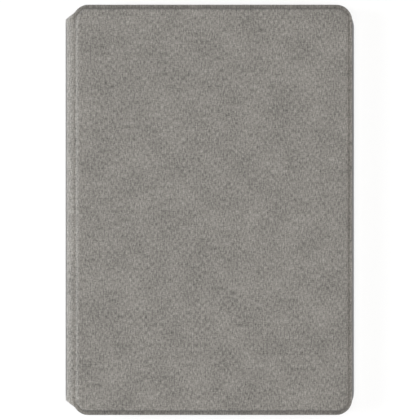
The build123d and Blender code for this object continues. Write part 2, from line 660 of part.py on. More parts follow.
# ---------------------------------------------------------------- key layout
CAP_WALL = 1.0
CAP_TOP = 0.6
CAP_ROUND = 0.4
ARROW_GAP = 1.2
ROW_KEYS = (
    (FUNCTION_PITCH, [("function_keys", 1.0)] * 14),
    (KEY_PITCH, [("number_keys", 1.0)] * 12 + [("backspace_key", 2.0)]),
    (
        KEY_PITCH,
        [("tab_key", 1.25)] + [("upper_letter_keys", 1.0)] * 12 + [("upper_letter_keys", 0.75)],
    ),
    (KEY_PITCH, [("caps_lock_key", 1.5)] + [("home_letter_keys", 1.0)] * 11 + [("enter_key", 1.5)]),
    (
        KEY_PITCH,
        [("left_shift_key", 2.0)] + [("lower_letter_keys", 1.0)] * 10 + [("right_shift_key", 2.0)],
    ),
    (
        KEY_PITCH,
        [("modifier_keys", 1.0)] * 4
        + [("space_bar", 5.0)]
        + [("modifier_keys", 1.0)] * 2
        + [("arrow_keys", 1.0)] * 3,
    ),
)


def key_caps():
    """Lists every cap as (group, x, y, depth, width), row by row from the user's left at +Y."""
    caps = []
    row_start = ROWS_MIN_X
    for pitch, row in ROW_KEYS:
        left = KEY_UNITS * KEY_PITCH / 2
        for group, units in row:
            width = units * KEY_PITCH
            caps.append(
                (group, row_start + pitch / 2, left - width / 2, pitch - KEY_GAP, width - KEY_GAP)
            )
            left -= width
        row_start += pitch
    # the middle arrow position holds two half-height caps
    group, x, y, depth, width = caps.pop(-2)
    half = (depth - ARROW_GAP) / 2
    shift = (half + ARROW_GAP) / 2
    caps += [(group, x - shift, y, half, width), (group, x + shift, y, half, width)]
    return caps


CAPS = key_caps()
ROWS_MAX_X = ROWS_MIN_X + FUNCTION_PITCH + 5 * KEY_PITCH
WELL_MIN_X = ROWS_MIN_X + KEY_GAP / 2 - WELL_MARGIN
WELL_MAX_X = ROWS_MAX_X - KEY_GAP / 2 + WELL_MARGIN
WELL_HALF = (KEY_UNITS * KEY_PITCH - KEY_GAP) / 2 + WELL_MARGIN
WELL_MIDDLE_X = middle(WELL_MIN_X, WELL_MAX_X)


def cap_plan(height, caps, grow, corner):
    """Draws the plan of a list of caps at a height, each grown by grow on every side."""
    with BuildSketch(Plane.XY.offset(height)) as plan:
        for _, x, y, depth, width in caps:
            with Locations((x, y)):
                RectangleRounded(depth + 2 * grow, width + 2 * grow, corner)
    return plan.sketch


for label in dict.fromkeys(cap[0] for cap in CAPS):
    group_caps = [cap for cap in CAPS if cap[0] == label]
    with BuildPart() as key_group:
        extrude(cap_plan(KEY_FACE, group_caps, 0, CAP_CORNER), amount=KEY_BACK - KEY_FACE)
        fillet(key_group.faces().group_by(Axis.Z)[0].edges(), CAP_ROUND)
        extrude(
            cap_plan(KEY_FACE + CAP_TOP, group_caps, -CAP_WALL, CAP_CORNER - CAP_WALL),
            amount=KEY_BACK - KEY_FACE - CAP_TOP,
            mode=Mode.SUBTRACT,
        )
    save(key_group, label)

# ---------------------------------------------------------------- keyboard module
TRACKPAD_GAP = 0.3
TRACKPAD_FACE, TRACKPAD_BACK = DECK_FACE + 0.1, DECK_FACE + 0.9
TRACKPAD_CORNER = 3.0
TRACKPAD_MIDDLE_X = middle(PAD_MIN_X, PAD_MAX_X)
BRACKET = 0.3
BRACKET_FACE = 13.6
SWITCH_FACE = 13.0
SCREW_SPOTS = [(x, y) for x in (-77.0, 26.0, 82.4) for y in (-113.0, -56.0, 56.0, 113.0)]
SCREW_RADIUS, SCREW_HEAD = 0.6, 1.1
SCREW_SEAT, HEAD_THICKNESS = 0.4, 0.3
BOSS = 1.2
DECK_ROUND = 0.5
REST_PAD_CORNER, REST_PAD_ROUND = 0.9, 0.2
DOME_RADIUS, DOME_HEIGHT, DOME_TAPER = 2.0, 0.7, 25
STANDOFF = (8.0, 3.0)
STANDOFF_PITCH = (44.0, 58.0)
STANDOFF_COUNT = (3, 5)
MAGNET_SIZE = (3.0, 16.0, 2.0)
BOARD_SPOT, BOARD_SIZE, BOARD_THICKNESS = (44.0, 78.0), (20.0, 38.0), 0.8
CHIP_SPOTS, CHIP_SIZE, CHIP_HEIGHT = ((42.0, 70.0), (46.0, 84.0)), 7.0, 0.9
SOCKET_SPOT, SOCKET_SIZE = (37.0, 90.0), (3.0, 12.0)
BRACKET_MARGIN = 2.0  # the trackpad overhangs its bracket along X
BRACKET_EAR = 2.0
BRACKET_DEPTH = PAD_MAX_X - PAD_MIN_X - 2 * BRACKET_MARGIN
SWITCH_SIZE = 5.0
SWITCH_INSET = 10.0
TRACKPAD_BEVEL = 0.15
REST_PADS = [(x, y, 14.0, 2.0) for x in (-45.0, 60.0) for y in (-122.6, 122.6)]
REST_PADS += [(-76.6, y, 2.0, 14.0) for y in (-84.0, 84.0)]
MODULE_MAGNETS = [(82.0, y) for y in (-96.0, -72.0, 72.0, 96.0)]

with BuildPart() as keyboard_deck:
    extrude(chassis_plan(DECK_FACE, 0), amount=DECK_BACK - DECK_FACE)
    fillet(keyboard_deck.faces().sort_by(Axis.Z)[0].edges(), DECK_ROUND)
    with BuildSketch(Plane.XY.offset(DECK_FACE)):
        with Locations((WELL_MIDDLE_X, 0)):
            RectangleRounded(WELL_MAX_X - WELL_MIN_X, 2 * WELL_HALF, CAP_CORNER + WELL_MARGIN)
    extrude(amount=DECK_BACK - DECK_FACE, mode=Mode.SUBTRACT)
    with BuildSketch(Plane.XY.offset(WEB_FACE)):
        with Locations((WELL_MIDDLE_X, 0)):
            Rectangle(WELL_MAX_X - WELL_MIN_X + 1, 2 * WELL_HALF + 1)
    extrude(amount=WEB_BACK - WEB_FACE)
    extrude(
        cap_plan(WEB_FACE, CAPS, HOLE_CLEARANCE, CAP_CORNER + HOLE_CLEARANCE),
        amount=WEB_BACK - WEB_FACE,
        mode=Mode.SUBTRACT,
    )
    with BuildSketch(Plane.XY.offset(DECK_FACE)):
        with Locations((TRACKPAD_MIDDLE_X, 0)):
            RectangleRounded(
                PAD_MAX_X - PAD_MIN_X + 2 * TRACKPAD_GAP,
                2 * (PAD_HALF + TRACKPAD_GAP),
                TRACKPAD_CORNER + TRACKPAD_GAP,
            )
    extrude(amount=DECK_BACK - DECK_FACE, mode=Mode.SUBTRACT)
    with BuildSketch(Plane.XY.offset(DECK_BACK)):
        with Locations(*SCREW_SPOTS):
            Circle(BOSS)
            Circle(SCREW_RADIUS + FINE, mode=Mode.SUBTRACT)
    extrude(amount=CHASSIS_FLOOR - DECK_BACK)
save(keyboard_deck, "keyboard_deck")

with BuildPart() as rest_pads:
    with BuildSketch(Plane.XY.offset(PAD_BOTTOM)):
        for x, y, depth, width in REST_PADS:
            with Locations((x, y)):
                RectangleRounded(depth, width, REST_PAD_CORNER)
    extrude(amount=DECK_FACE - PAD_BOTTOM)
    fillet(rest_pads.faces().group_by(Axis.Z)[0].edges(), REST_PAD_ROUND)
save(rest_pads, "rest_pads")

with BuildPart() as keyboard_chassis:
    extrude(chassis_plan(DECK_BACK, 0), amount=FLANGE_UNDER - DECK_BACK)
    extrude(
        chassis_plan(DECK_BACK, CHASSIS_WALL),
        amount=CHASSIS_FLOOR - DECK_BACK,
        mode=Mode.SUBTRACT,
    )
    with BuildSketch(Plane.XY.offset(CHASSIS_FLOOR)):
        with Locations(*SCREW_SPOTS):
            Circle(SCREW_RADIUS + FINE)
    extrude(amount=FLANGE_UNDER - CHASSIS_FLOOR, mode=Mode.SUBTRACT)
    with BuildSketch(Plane.XY.offset(FLANGE_UNDER)):
        with Locations(*SCREW_SPOTS):
            Circle(SCREW_HEAD + FINE)
    extrude(amount=-SCREW_SEAT, mode=Mode.SUBTRACT)
save(keyboard_chassis, "keyboard_chassis")

with BuildPart() as module_screws:
    with BuildSketch(Plane.XY.offset(DECK_BACK + FINE)):
        with Locations(*SCREW_SPOTS):
            Circle(SCREW_RADIUS)
    extrude(amount=FLANGE_UNDER - FINE - DECK_BACK - FINE)
    with BuildSketch(Plane.XY.offset(FLANGE_UNDER - FINE)):
        with Locations(*SCREW_SPOTS):
            Circle(SCREW_HEAD)
    extrude(amount=-HEAD_THICKNESS)
save(module_screws, "module_screws")

with BuildPart() as key_membrane:
    with BuildSketch(Plane.XY.offset(MEMBRANE_FACE)):
        with Locations((WELL_MIDDLE_X, 0)):
            Rectangle(WELL_MAX_X - WELL_MIN_X, 2 * WELL_HALF)
    extrude(amount=PLATE_FACE - MEMBRANE_FACE)
save(key_membrane, "key_membrane")

with BuildPart() as rubber_domes:
    with BuildSketch(Plane.XY.offset(MEMBRANE_FACE)):
        with Locations(*[(x, y) for _, x, y, _, _ in CAPS]):
            Circle(DOME_RADIUS)
    extrude(amount=-DOME_HEIGHT, taper=DOME_TAPER)
save(rubber_domes, "rubber_domes")

with BuildPart() as key_plate:
    with BuildSketch(Plane.XY.offset(PLATE_FACE)):
        with Locations((WELL_MIDDLE_X, 0)):
            Rectangle(WELL_MAX_X - WELL_MIN_X, 2 * WELL_HALF)
    extrude(amount=PLATE_BACK - PLATE_FACE)
    with BuildSketch(Plane.XY.offset(PLATE_BACK)):
        with Locations((WELL_MIDDLE_X, 0)):
            with GridLocations(*STANDOFF_PITCH, *STANDOFF_COUNT):
                Rectangle(*STANDOFF)
    extrude(amount=CHASSIS_FLOOR - PLATE_BACK)
save(key_plate, "key_plate")

with BuildPart() as controller_board:
    with BuildSketch(Plane.XY.offset(CHASSIS_FLOOR)):
        with Locations(BOARD_SPOT):
            Rectangle(*BOARD_SIZE)
    extrude(amount=-BOARD_THICKNESS)
    with BuildSketch(Plane.XY.offset(CHASSIS_FLOOR - BOARD_THICKNESS)):
        with Locations(*CHIP_SPOTS):
            Rectangle(CHIP_SIZE, CHIP_SIZE)
        with Locations(SOCKET_SPOT):
            Rectangle(*SOCKET_SIZE)
    extrude(amount=-CHIP_HEIGHT)
save(controller_board, "controller_board")

with BuildPart() as module_magnets:
    with BuildSketch(Plane.XY.offset(CHASSIS_FLOOR)):
        with Locations(*MODULE_MAGNETS):
            Rectangle(MAGNET_SIZE[0], MAGNET_SIZE[1])
    extrude(amount=-MAGNET_SIZE[2])
save(module_magnets, "module_magnets")

# ---------------------------------------------------------------- trackpad
with BuildPart() as trackpad:
    with BuildSketch(Plane.XY.offset(TRACKPAD_FACE)):
        with Locations((TRACKPAD_MIDDLE_X, 0)):
            RectangleRounded(PAD_MAX_X - PAD_MIN_X, 2 * PAD_HALF, TRACKPAD_CORNER)
    extrude(amount=TRACKPAD_BACK - TRACKPAD_FACE)
    chamfer(trackpad.faces().sort_by(Axis.Z)[0].edges(), TRACKPAD_BEVEL)
save(trackpad, "trackpad")

with BuildPart() as trackpad_bracket:
    with BuildSketch(Plane.XY.offset(BRACKET_FACE)):
        with Locations((TRACKPAD_MIDDLE_X, 0)):
            Rectangle(BRACKET_DEPTH, 2 * (PAD_HALF + 1.5 * BRACKET_EAR))
    extrude(amount=BRACKET)
    with BuildSketch(Plane.XY.offset(DECK_BACK)):
        with Locations(*[(TRACKPAD_MIDDLE_X, side * (PAD_HALF + BRACKET_EAR)) for side in (-1, 1)]):
            Rectangle(BRACKET_DEPTH, BRACKET_EAR)
    extrude(amount=BRACKET_FACE - DECK_BACK)
save(trackpad_bracket, "trackpad_bracket")

with BuildPart() as trackpad_switch:
    with BuildSketch(Plane.XY.offset(SWITCH_FACE)):
        with Locations((PAD_MAX_X - SWITCH_INSET, 0)):
            Rectangle(SWITCH_SIZE, SWITCH_SIZE)
    extrude(amount=BRACKET_FACE - SWITCH_FACE)
save(trackpad_switch, "trackpad_switch")
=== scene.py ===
"""Looks of the tablet keyboard case: woven outer fabric, linings, moulded case, keyboard.

Metres, in the frame of the CAD model: +Z up, +X from the spine to the free edge, +Y along the
long side. The case is closed and lies on its back, so the keyboard's faces look down.
"""

import json
import math

import bpy
from mathutils import Matrix, Vector
from mathutils.geometry import tessellate_polygon


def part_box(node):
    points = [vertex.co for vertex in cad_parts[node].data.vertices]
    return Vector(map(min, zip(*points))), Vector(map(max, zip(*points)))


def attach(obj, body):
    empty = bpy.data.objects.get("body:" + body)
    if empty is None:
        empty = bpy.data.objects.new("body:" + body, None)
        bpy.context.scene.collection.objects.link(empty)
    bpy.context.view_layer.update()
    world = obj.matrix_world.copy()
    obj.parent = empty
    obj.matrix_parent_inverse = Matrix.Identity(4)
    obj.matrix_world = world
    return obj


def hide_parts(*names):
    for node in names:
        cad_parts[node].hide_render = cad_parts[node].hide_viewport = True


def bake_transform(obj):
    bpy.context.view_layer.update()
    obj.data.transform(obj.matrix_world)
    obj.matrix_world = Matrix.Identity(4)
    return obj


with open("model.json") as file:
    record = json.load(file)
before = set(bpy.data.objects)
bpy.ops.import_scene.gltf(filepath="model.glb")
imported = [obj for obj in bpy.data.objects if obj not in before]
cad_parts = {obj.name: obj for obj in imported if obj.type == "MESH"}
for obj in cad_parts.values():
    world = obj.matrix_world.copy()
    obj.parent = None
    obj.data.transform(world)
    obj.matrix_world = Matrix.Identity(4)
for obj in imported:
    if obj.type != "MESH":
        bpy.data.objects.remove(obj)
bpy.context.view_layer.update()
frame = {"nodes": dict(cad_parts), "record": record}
nodes = frame["nodes"]
MM = 0.001


# ------------------------------------------------------------------ sizes read from the frame
def low(node):
    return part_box(node)[0]


def high(node):
    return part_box(node)[1]


crease_x = high("cover_crease").x
spine_x = low("spine_fabric").x
cover_edge_x = high("cover_fabric").x
half_length = high("cover_fabric").y
crease_half = high("cover_crease").y
spine_half = high("spine_fabric").y
cover_top = high("cover_fabric").z
flange_top = high("cover_crease").z
upper_z = low("cover_crease").z
lower_z = high("dock_crease").z
dock_bottom = low("dock_fabric").z
spine_radius = crease_x - spine_x
split_z = (upper_z + lower_z) / 2  # where the cover's skin meets the dock's skin
CUT_SLOPE = Vector((-5.0, 4.0))  # square to the cut corner at +Y, beside the spine
CUT_BLEND = 9.5 * MM  # radius between the cut corner and the short side
COVER_CORNER = 10.0 * MM
ARC_STEPS = 14  # mesh steps over the quarter turn of a crease


# ------------------------------------------------------------------ node helpers
class Graph:
    """A small helper that wires a material's nodes by name."""

    def __init__(self, name):
        self.material = bpy.data.materials.new(name)
        self.material.use_nodes = True
        self.tree = self.material.node_tree
        self.shader = self.tree.nodes["Principled BSDF"]

    def node(self, kind, values=(), **settings):
        made = self.tree.nodes.new("ShaderNode" + kind)
        for key, value in settings.items():
            setattr(made, key, value)
        for socket, value in dict(values).items():
            self.put(made.inputs[socket], value)
        return made

    def put(self, socket, value):
        if isinstance(value, bpy.types.NodeSocket):
            self.tree.links.new(value, socket)
        else:
            socket.default_value = value

    def maths(self, operation, a, b=0.5, c=None):
        made = self.node("Math", operation=operation)
        self.put(made.inputs[0], a)
        self.put(made.inputs[1], b)
        if c is not None:
            self.put(made.inputs[2], c)
        return made.outputs[0]

    def noise(self, vector, scale, detail=2.0, roughness=0.5):
        made = self.node(
            "TexNoise",
            {"Vector": vector, "Scale": scale, "Detail": detail, "Roughness": roughness},
        )
        return made.outputs["Fac"]

    def stretched(self, vector, x, y, z=1.0):
        made = self.node("Mapping", {"Vector": vector, "Scale": (x, y, z)})
        return made.outputs[0]

    def spread(self, value, low_in, high_in, low_out, high_out):
        made = self.node(
            "MapRange",
            {
                "Value": value,
                "From Min": low_in,
                "From Max": high_in,
                "To Min": low_out,
                "To Max": high_out,
            },
        )
        return made.outputs[0]

    def blend_colour(self, factor, a, b, kind="MIX"):
        made = self.node("Mix", data_type="RGBA", blend_type=kind)
        self.put(made.inputs["Factor"], factor)
        self.put(made.inputs[6], a)
        self.put(made.inputs[7], b)
        return made.outputs[2]

    def bump(self, height, strength, distance):
        made = self.node("Bump", {"Height": height, "Strength": strength, "Distance": distance})
        self.put(self.shader.inputs["Normal"], made.outputs[0])

    def set(self, **values):
        for key, value in values.items():
            self.put(self.shader.inputs[key.replace("_", " ")], value)


def scaled(colour, factor):
    return tuple(c * factor for c in colour[:3]) + (1.0,)


YARN_PITCH = 0.46 * MM
WEFT_STRETCH = 1.15  # the weft yarns lie this much further apart than the warp yarns
YARN_RELIEF = 0.1 * MM
WANDER_SCALE = 90.0  # noise scales are in cycles per metre
WARP_FLECK, WEFT_FLECK = (1250.0, 400.0), (520.0, 1500.0)
CLOUD_SCALE = 55.0
FUZZ_SCALE = 3800.0
SHADE_SHARES = (2.5, 1.3, 0.72, 0.5)  # of the warp flecks, weft flecks, clouds and fuzz
YARN_GAP_SHADE, YARN_TONE = 0.62, 1.06  # painted shade between the yarns: how light the cloth is between its yarns and on top of them
# strength of the painted shade on the hem creases and of the painted light on the spine
PAINTED_SHADING_STRENGTH = 0.36


def woven(name, colour, contrast):
    """Heather plain weave: yarns of mixed shades, drawn from the UV map in metres."""
    g = Graph(name)
    uv = g.node("UVMap").outputs[0]
    parts = g.node("SeparateXYZ", {"Vector": uv})
    u, v = parts.outputs[0], parts.outputs[1]
    # slow wander of the yarns, so that rows are never ruler straight
    wander = g.noise(uv, WANDER_SCALE, 2.0)
    drift = g.spread(wander, 0.0, 1.0, -0.5 * YARN_PITCH, 0.5 * YARN_PITCH)
    across = g.maths("MULTIPLY", g.maths("ADD", u, drift), 1.0 / YARN_PITCH)
    along = g.maths("MULTIPLY", g.maths("ADD", v, drift), 1.0 / (YARN_PITCH * WEFT_STRETCH))
    warp = g.maths("ABSOLUTE", g.maths("SINE", g.maths("MULTIPLY", across, math.pi)))
    weft = g.maths("ABSOLUTE", g.maths("SINE", g.maths("MULTIPLY", along, math.pi)))
    cell = g.maths("ADD", g.maths("FLOOR", across), g.maths("FLOOR", along))
    over = g.maths("MULTIPLY", g.maths("FRACT", g.maths("MULTIPLY", cell, 0.5)), 2.0)
    crossing = g.node("Mix", data_type="FLOAT")
    g.put(crossing.inputs[0], over)
    g.put(crossing.inputs[2], g.maths("MULTIPLY", weft, 0.85))
    g.put(crossing.inputs[3], warp)
    height = crossing.outputs[0]
    # shades: long flecks along the warp, shorter ones along the weft, and slow clouds
    warp_fleck = g.noise(g.stretched(uv, *WARP_FLECK), 1.0, 3.0, 0.6)
    weft_fleck = g.noise(g.stretched(uv, *WEFT_FLECK), 1.0, 2.0, 0.55)
    cloud = g.noise(uv, CLOUD_SCALE, 3.0, 0.6)
    fine = g.noise(uv, FUZZ_SCALE, 1.0)
    shade = 0.0
    for layer, share in zip((warp_fleck, weft_fleck, cloud, fine), SHADE_SHARES):
        shade = g.maths("ADD", g.maths("MULTIPLY", g.maths("SUBTRACT", layer, 0.5), share), shade)
    level = g.spread(shade, -0.8, 0.8, 0.0, 1.0)
    tone = g.blend_colour(level, scaled(colour, 1.0 - contrast), scaled(colour, 1.0 + contrast))
    # painted shade in the gaps between the yarns, from the weave's height
    weave_shade = g.spread(height, 0.0, 0.75, YARN_GAP_SHADE, YARN_TONE)
    # painted shade on the hem creases and painted light on the spine, read from the point attribute
    painted_light_and_shade = g.node("Attribute", attribute_name="painted_light_and_shade").outputs["Fac"]
    painted_darkening = g.maths("MULTIPLY", painted_light_and_shade, PAINTED_SHADING_STRENGTH)
    weave_and_painted_shade = g.maths("MULTIPLY", weave_shade, g.maths("SUBTRACT", 1.0, painted_darkening))
    shading = g.node("CombineColor", {0: weave_and_painted_shade, 1: weave_and_painted_shade, 2: weave_and_painted_shade}).outputs[0]
    tone = g.blend_colour(1.0, tone, shading, "MULTIPLY")
    g.put(g.shader.inputs["Base Color"], tone)
    g.put(g.shader.inputs["Roughness"], g.spread(warp_fleck, 0.3, 0.7, 0.8, 0.95))
    g.set(Specular_IOR_Level=0.25, Sheen_Weight=0.16, Sheen_Roughness=0.55)
    g.shader.inputs["Sheen Tint"].default_value = (0.86, 0.90, 1.0, 1.0)
    fuzz = g.maths("ADD", height, g.maths("MULTIPLY", fine, 0.5))
    fuzz = g.maths("ADD", fuzz, g.maths("MULTIPLY", warp_fleck, 0.6))
    g.bump(fuzz, 0.55, YARN_RELIEF)
    return g.material


def suede(name, colour):
    """Brushed microfibre: soft nap with slow brushed patches."""
    g = Graph(name)
    place = g.node("TexCoord").outputs["Object"]
    nap = g.noise(g.stretched(place, 1900.0, 3100.0, 1900.0), 1.0, 3.0, 0.65)
    patch = g.noise(place, 38.0, 3.0, 0.55)
    level = g.maths("ADD", g.maths("MULTIPLY", nap, 0.55), g.maths("MULTIPLY", patch, 0.45))
    brushed = g.spread(level, 0.3, 0.7, 0.0, 1.0)
    tone = g.blend_colour(brushed, scaled(colour, 0.72), scaled(colour, 1.3))
    g.put(g.shader.inputs["Base Color"], tone)
    g.set(Roughness=0.92, Specular_IOR_Level=0.2, Sheen_Weight=0.45, Sheen_Roughness=0.4)
    g.bump(nap, 0.35, 0.06 * MM)
    return g.material


def moulded(name, colour, rough=(0.42, 0.6), grain=2600.0, depth=0.02 * MM, wear=0.25, spec=0.5):
    """Moulded plastic or rubber: spark-eroded grain, faint cloudiness and paler worn edges."""
    g = Graph(name)
    place = g.node("TexCoord").outputs["Object"]
    texture = g.noise(place, grain, 2.0, 0.6)
    cloud = g.noise(place, 32.0, 3.0, 0.5)
    smear = g.noise(g.stretched(place, 60.0, 14.0, 60.0), 1.0, 4.0, 0.6)
    tone = g.blend_colour(
        g.spread(cloud, 0.3, 0.7, 0.0, 1.0), scaled(colour, 0.9), scaled(colour, 1.1)
    )
    edge = g.node("NewGeometry").outputs["Pointiness"]
    rubbed = g.maths("MULTIPLY", g.spread(edge, 0.52, 0.62, 0.0, 1.0), wear)
    g.put(g.shader.inputs["Base Color"], g.blend_colour(rubbed, tone, scaled(colour, 2.2)))
    g.put(g.shader.inputs["Roughness"], g.spread(smear, 0.3, 0.7, rough[0], rough[1]))
    g.set(Specular_IOR_Level=spec)
    g.bump(texture, 0.5, depth)
    return g.material


def metal(name, colour, rough=0.32, brushed=True):
    """Brushed or plated metal, with fine lines along Y."""
    g = Graph(name)
    place = g.node("TexCoord").outputs["Object"]
    lines = g.noise(g.stretched(place, 4200.0, 160.0, 4200.0), 1.0, 3.0, 0.6)
    stain = g.noise(place, 120.0, 3.0, 0.55)
    stained = g.spread(stain, 0.3, 0.7, 0.0, 1.0)
    tone = g.blend_colour(stained, scaled(colour, 0.85), scaled(colour, 1.06))
    g.put(g.shader.inputs["Base Color"], tone)
    g.put(g.shader.inputs["Roughness"], g.spread(lines, 0.3, 0.7, rough * 0.75, rough * 1.35))
    g.set(Metallic=1.0)
    g.bump(lines, 0.3 if brushed else 0.08, 0.01 * MM)
    return g.material


FABRIC = (0.262, 0.248, 0.2265)
LINING = (0.075, 0.077, 0.082)
outer_fabric = woven("heather_weave", FABRIC, 0.73)
lining_cloth = suede("brushed_lining", LINING)
bumper = moulded("bumper_rubber", (0.235, 0.238, 0.243), (0.48, 0.66), 2200.0, 0.03 * MM)
plate = moulded("plate_plastic", (0.08, 0.081, 0.085))
deck = moulded("soft_touch_deck", (0.085, 0.087, 0.092), (0.5, 0.66), 3200.0, 0.015 * MM)
cap = moulded("keycap_plastic", (0.036, 0.037, 0.04), (0.38, 0.55), 3000.0, 0.012 * MM, 0.18)
glass = moulded("trackpad_surface", (0.105, 0.108, 0.114), (0.3, 0.4), 4200.0, 0.006 * MM, 0.1)
rubber = moulded("rubber", (0.03, 0.03, 0.031), (0.6, 0.8), 1800.0, 0.03 * MM, 0.3, 0.3)
button = moulded("button_plastic", (0.2, 0.204, 0.21), (0.34, 0.48))
camera_trim = moulded("camera_trim", (0.03, 0.03, 0.032), (0.16, 0.26), 3000.0, 0.004 * MM)
steel = metal("brushed_steel", (0.56, 0.56, 0.57))
plated = metal("nickel_plate", (0.66, 0.65, 0.62), 0.2, False)
gold = metal("gold_plate", (0.86, 0.62, 0.25), 0.2, False)
board = moulded("stiffener_board", (0.42, 0.41, 0.38), (0.6, 0.75), 1500.0)
silicone = moulded("silicone", (0.62, 0.62, 0.6), (0.35, 0.5), 900.0, 0.01 * MM, 0.0)
film = moulded("membrane_film", (0.45, 0.46, 0.45), (0.18, 0.3), 700.0, 0.01 * MM, 0.0)
solder_mask = moulded("solder_mask", (0.012, 0.1, 0.055), (0.25, 0.4), 1500.0, 0.02 * MM)
flex = moulded("flex_film", (0.4, 0.17, 0.035), (0.2, 0.34), 900.0, 0.01 * MM)
legend_ink = moulded("legend_ink", (0.62, 0.63, 0.64), (0.4, 0.5), 2500.0, 0.004 * MM, 0.0)

FINISH = {
    "bumper": bumper,
    "steel": steel,
    "plate_plastic": plate,
    "camera_trim": camera_trim,
    "magnet": plated,
    "hinge_steel": steel,
    "rubber": rubber,
    "button": button,
    "gold_contact": gold,
    "board": board,
    "flex_cable": flex,
    "chassis": plate,
    "membrane": film,
    "dome_rubber": silicone,
    "circuit_board": solder_mask,
    "deck": deck,
    "switch_metal": plated,
    "trackpad_glass": glass,
    "keycap": cap,
}
for entry in frame["record"]["subparts"]:
    if entry["material_slot"] in FINISH:
        for material_slot in nodes[entry["node"]].material_slots:
            material_slot.material = FINISH[entry["material_slot"]]


# ------------------------------------------------------------------ mesh helpers
def piece(name, points, faces, uvs, material, smooth_angle=50.0):
    """Makes a smooth mesh piece. uvs holds one pair in metres per point."""
    mesh = bpy.data.meshes.new(name)
    mesh.from_pydata([tuple(p) for p in points], [], faces)
    mesh.update()
    layer = mesh.uv_layers.new(name="UVMap")
    for loop in mesh.loops:
        layer.data[loop.index].uv = uvs[loop.vertex_index]
    made = bpy.data.objects.new(name, mesh)
    bpy.context.scene.collection.objects.link(made)
    mesh.materials.append(material)
    mesh.shade_smooth()
    mesh.set_sharp_from_angle(angle=math.radians(smooth_angle))
    return made


def rounded_chain(corners, radii, straight, turn):
    """Samples the open polyline with each inner corner rounded, in a fixed number of points."""
    points = []
    previous = Vector(corners[0])
    for i in range(1, len(corners) - 1):
        corner, after = Vector(corners[i]), Vector(corners[i + 1])
        inward = (corner - Vector(corners[i - 1])).normalized()
        outward = (after - corner).normalized()
        angle = inward.angle(outward)
        reach = radii[i - 1] * math.tan(angle / 2)
        start = corner - inward * reach
        for k in range(straight[i - 1]):
            points.append(previous.lerp(start, k / straight[i - 1]))
        side = 1.0 if inward.x * outward.y - inward.y * outward.x > 0 else -1.0
        centre = start + Vector((-inward.y, inward.x)) * side * radii[i - 1]
        spoke = start - centre
        for k in range(turn[i - 1]):
            a = side * angle * k / turn[i - 1]
            x = spoke.x * math.cos(a) - spoke.y * math.sin(a)
            y = spoke.x * math.sin(a) + spoke.y * math.cos(a)
            points.append(centre + Vector((x, y)))
        previous = corner + outward * reach
    last = Vector(corners[-1])
    for k in range(straight[-1] + 1):
        points.append(previous.lerp(last, k / straight[-1]))
    return points


CUT_FADE = 1.66  # how fast the blend beside the spine tightens as the outline moves in
CHAIN_STRAIGHTS = (4, 40, 60, 40, 4)  # mesh steps along the outline's straights
CHAIN_TURNS = (8, 16, 16, 8)  # and round its corners
SMALL_RADIUS = 0.8 * MM
LONG_SIDE_PAINTED_SHADE = 0.02  # painted shade on the long sides, as a share of that on the short sides
SPINE_PAINTED_LIGHT = 0.26  # painted light on the spine and its crease, which face the key lamp
HEM_PAINTED_SHADE = 0.55  # painted shade at the very edge, as a share of the full painted shade
PAINTED_SHADE_FADE = 1.0 * MM  # the painted shade fades over this much of the rise
SIDE_POINTS = 64  # mesh steps along the spine side
TAPER_SHARE = 0.9  # of the half length, past which the spine's full narrowing counts
SPINE_DROPS = 3  # mesh steps from the crease to half way down the spine
SPINE_SWELL = 0.16 * MM  # the cloth spine stands out a little between its creases


def cover_chain(inset, spine_inset):
    """The cover's outline past the crease, from -Y to +Y, moved in by inset."""
    left, right, side = crease_x + spine_inset, cover_edge_x - inset, half_length - inset
    cut = CUT_SLOPE.normalized()
    reach = cut.dot(Vector((crease_x, crease_half))) - inset
    corner_y = (reach - cut.x * left) / cut.y
    corner_x = (reach - cut.y * side) / cut.x
    cut_radius = max(CUT_BLEND - CUT_FADE * inset, SMALL_RADIUS)
    corner_radius = max(COVER_CORNER - inset, SMALL_RADIUS)
    return rounded_chain(
        [
            (left, -corner_y),
            (corner_x, -side),
            (right, -side),
            (right, side),
            (corner_x, side),
            (left, corner_y),
        ],
        [cut_radius, corner_radius, corner_radius, cut_radius],
        CHAIN_STRAIGHTS,
        CHAIN_TURNS,
    )


def run_lengths(profile):
    """Distance of each profile point from the last one, measured along the profile."""
    lengths = [0.0]
    for (a, b), (c, d) in zip(profile[:-1], profile[1:]):
        lengths.append(lengths[-1] + math.hypot(c - a, d - b))
    return [lengths[-1] - value for value in lengths]


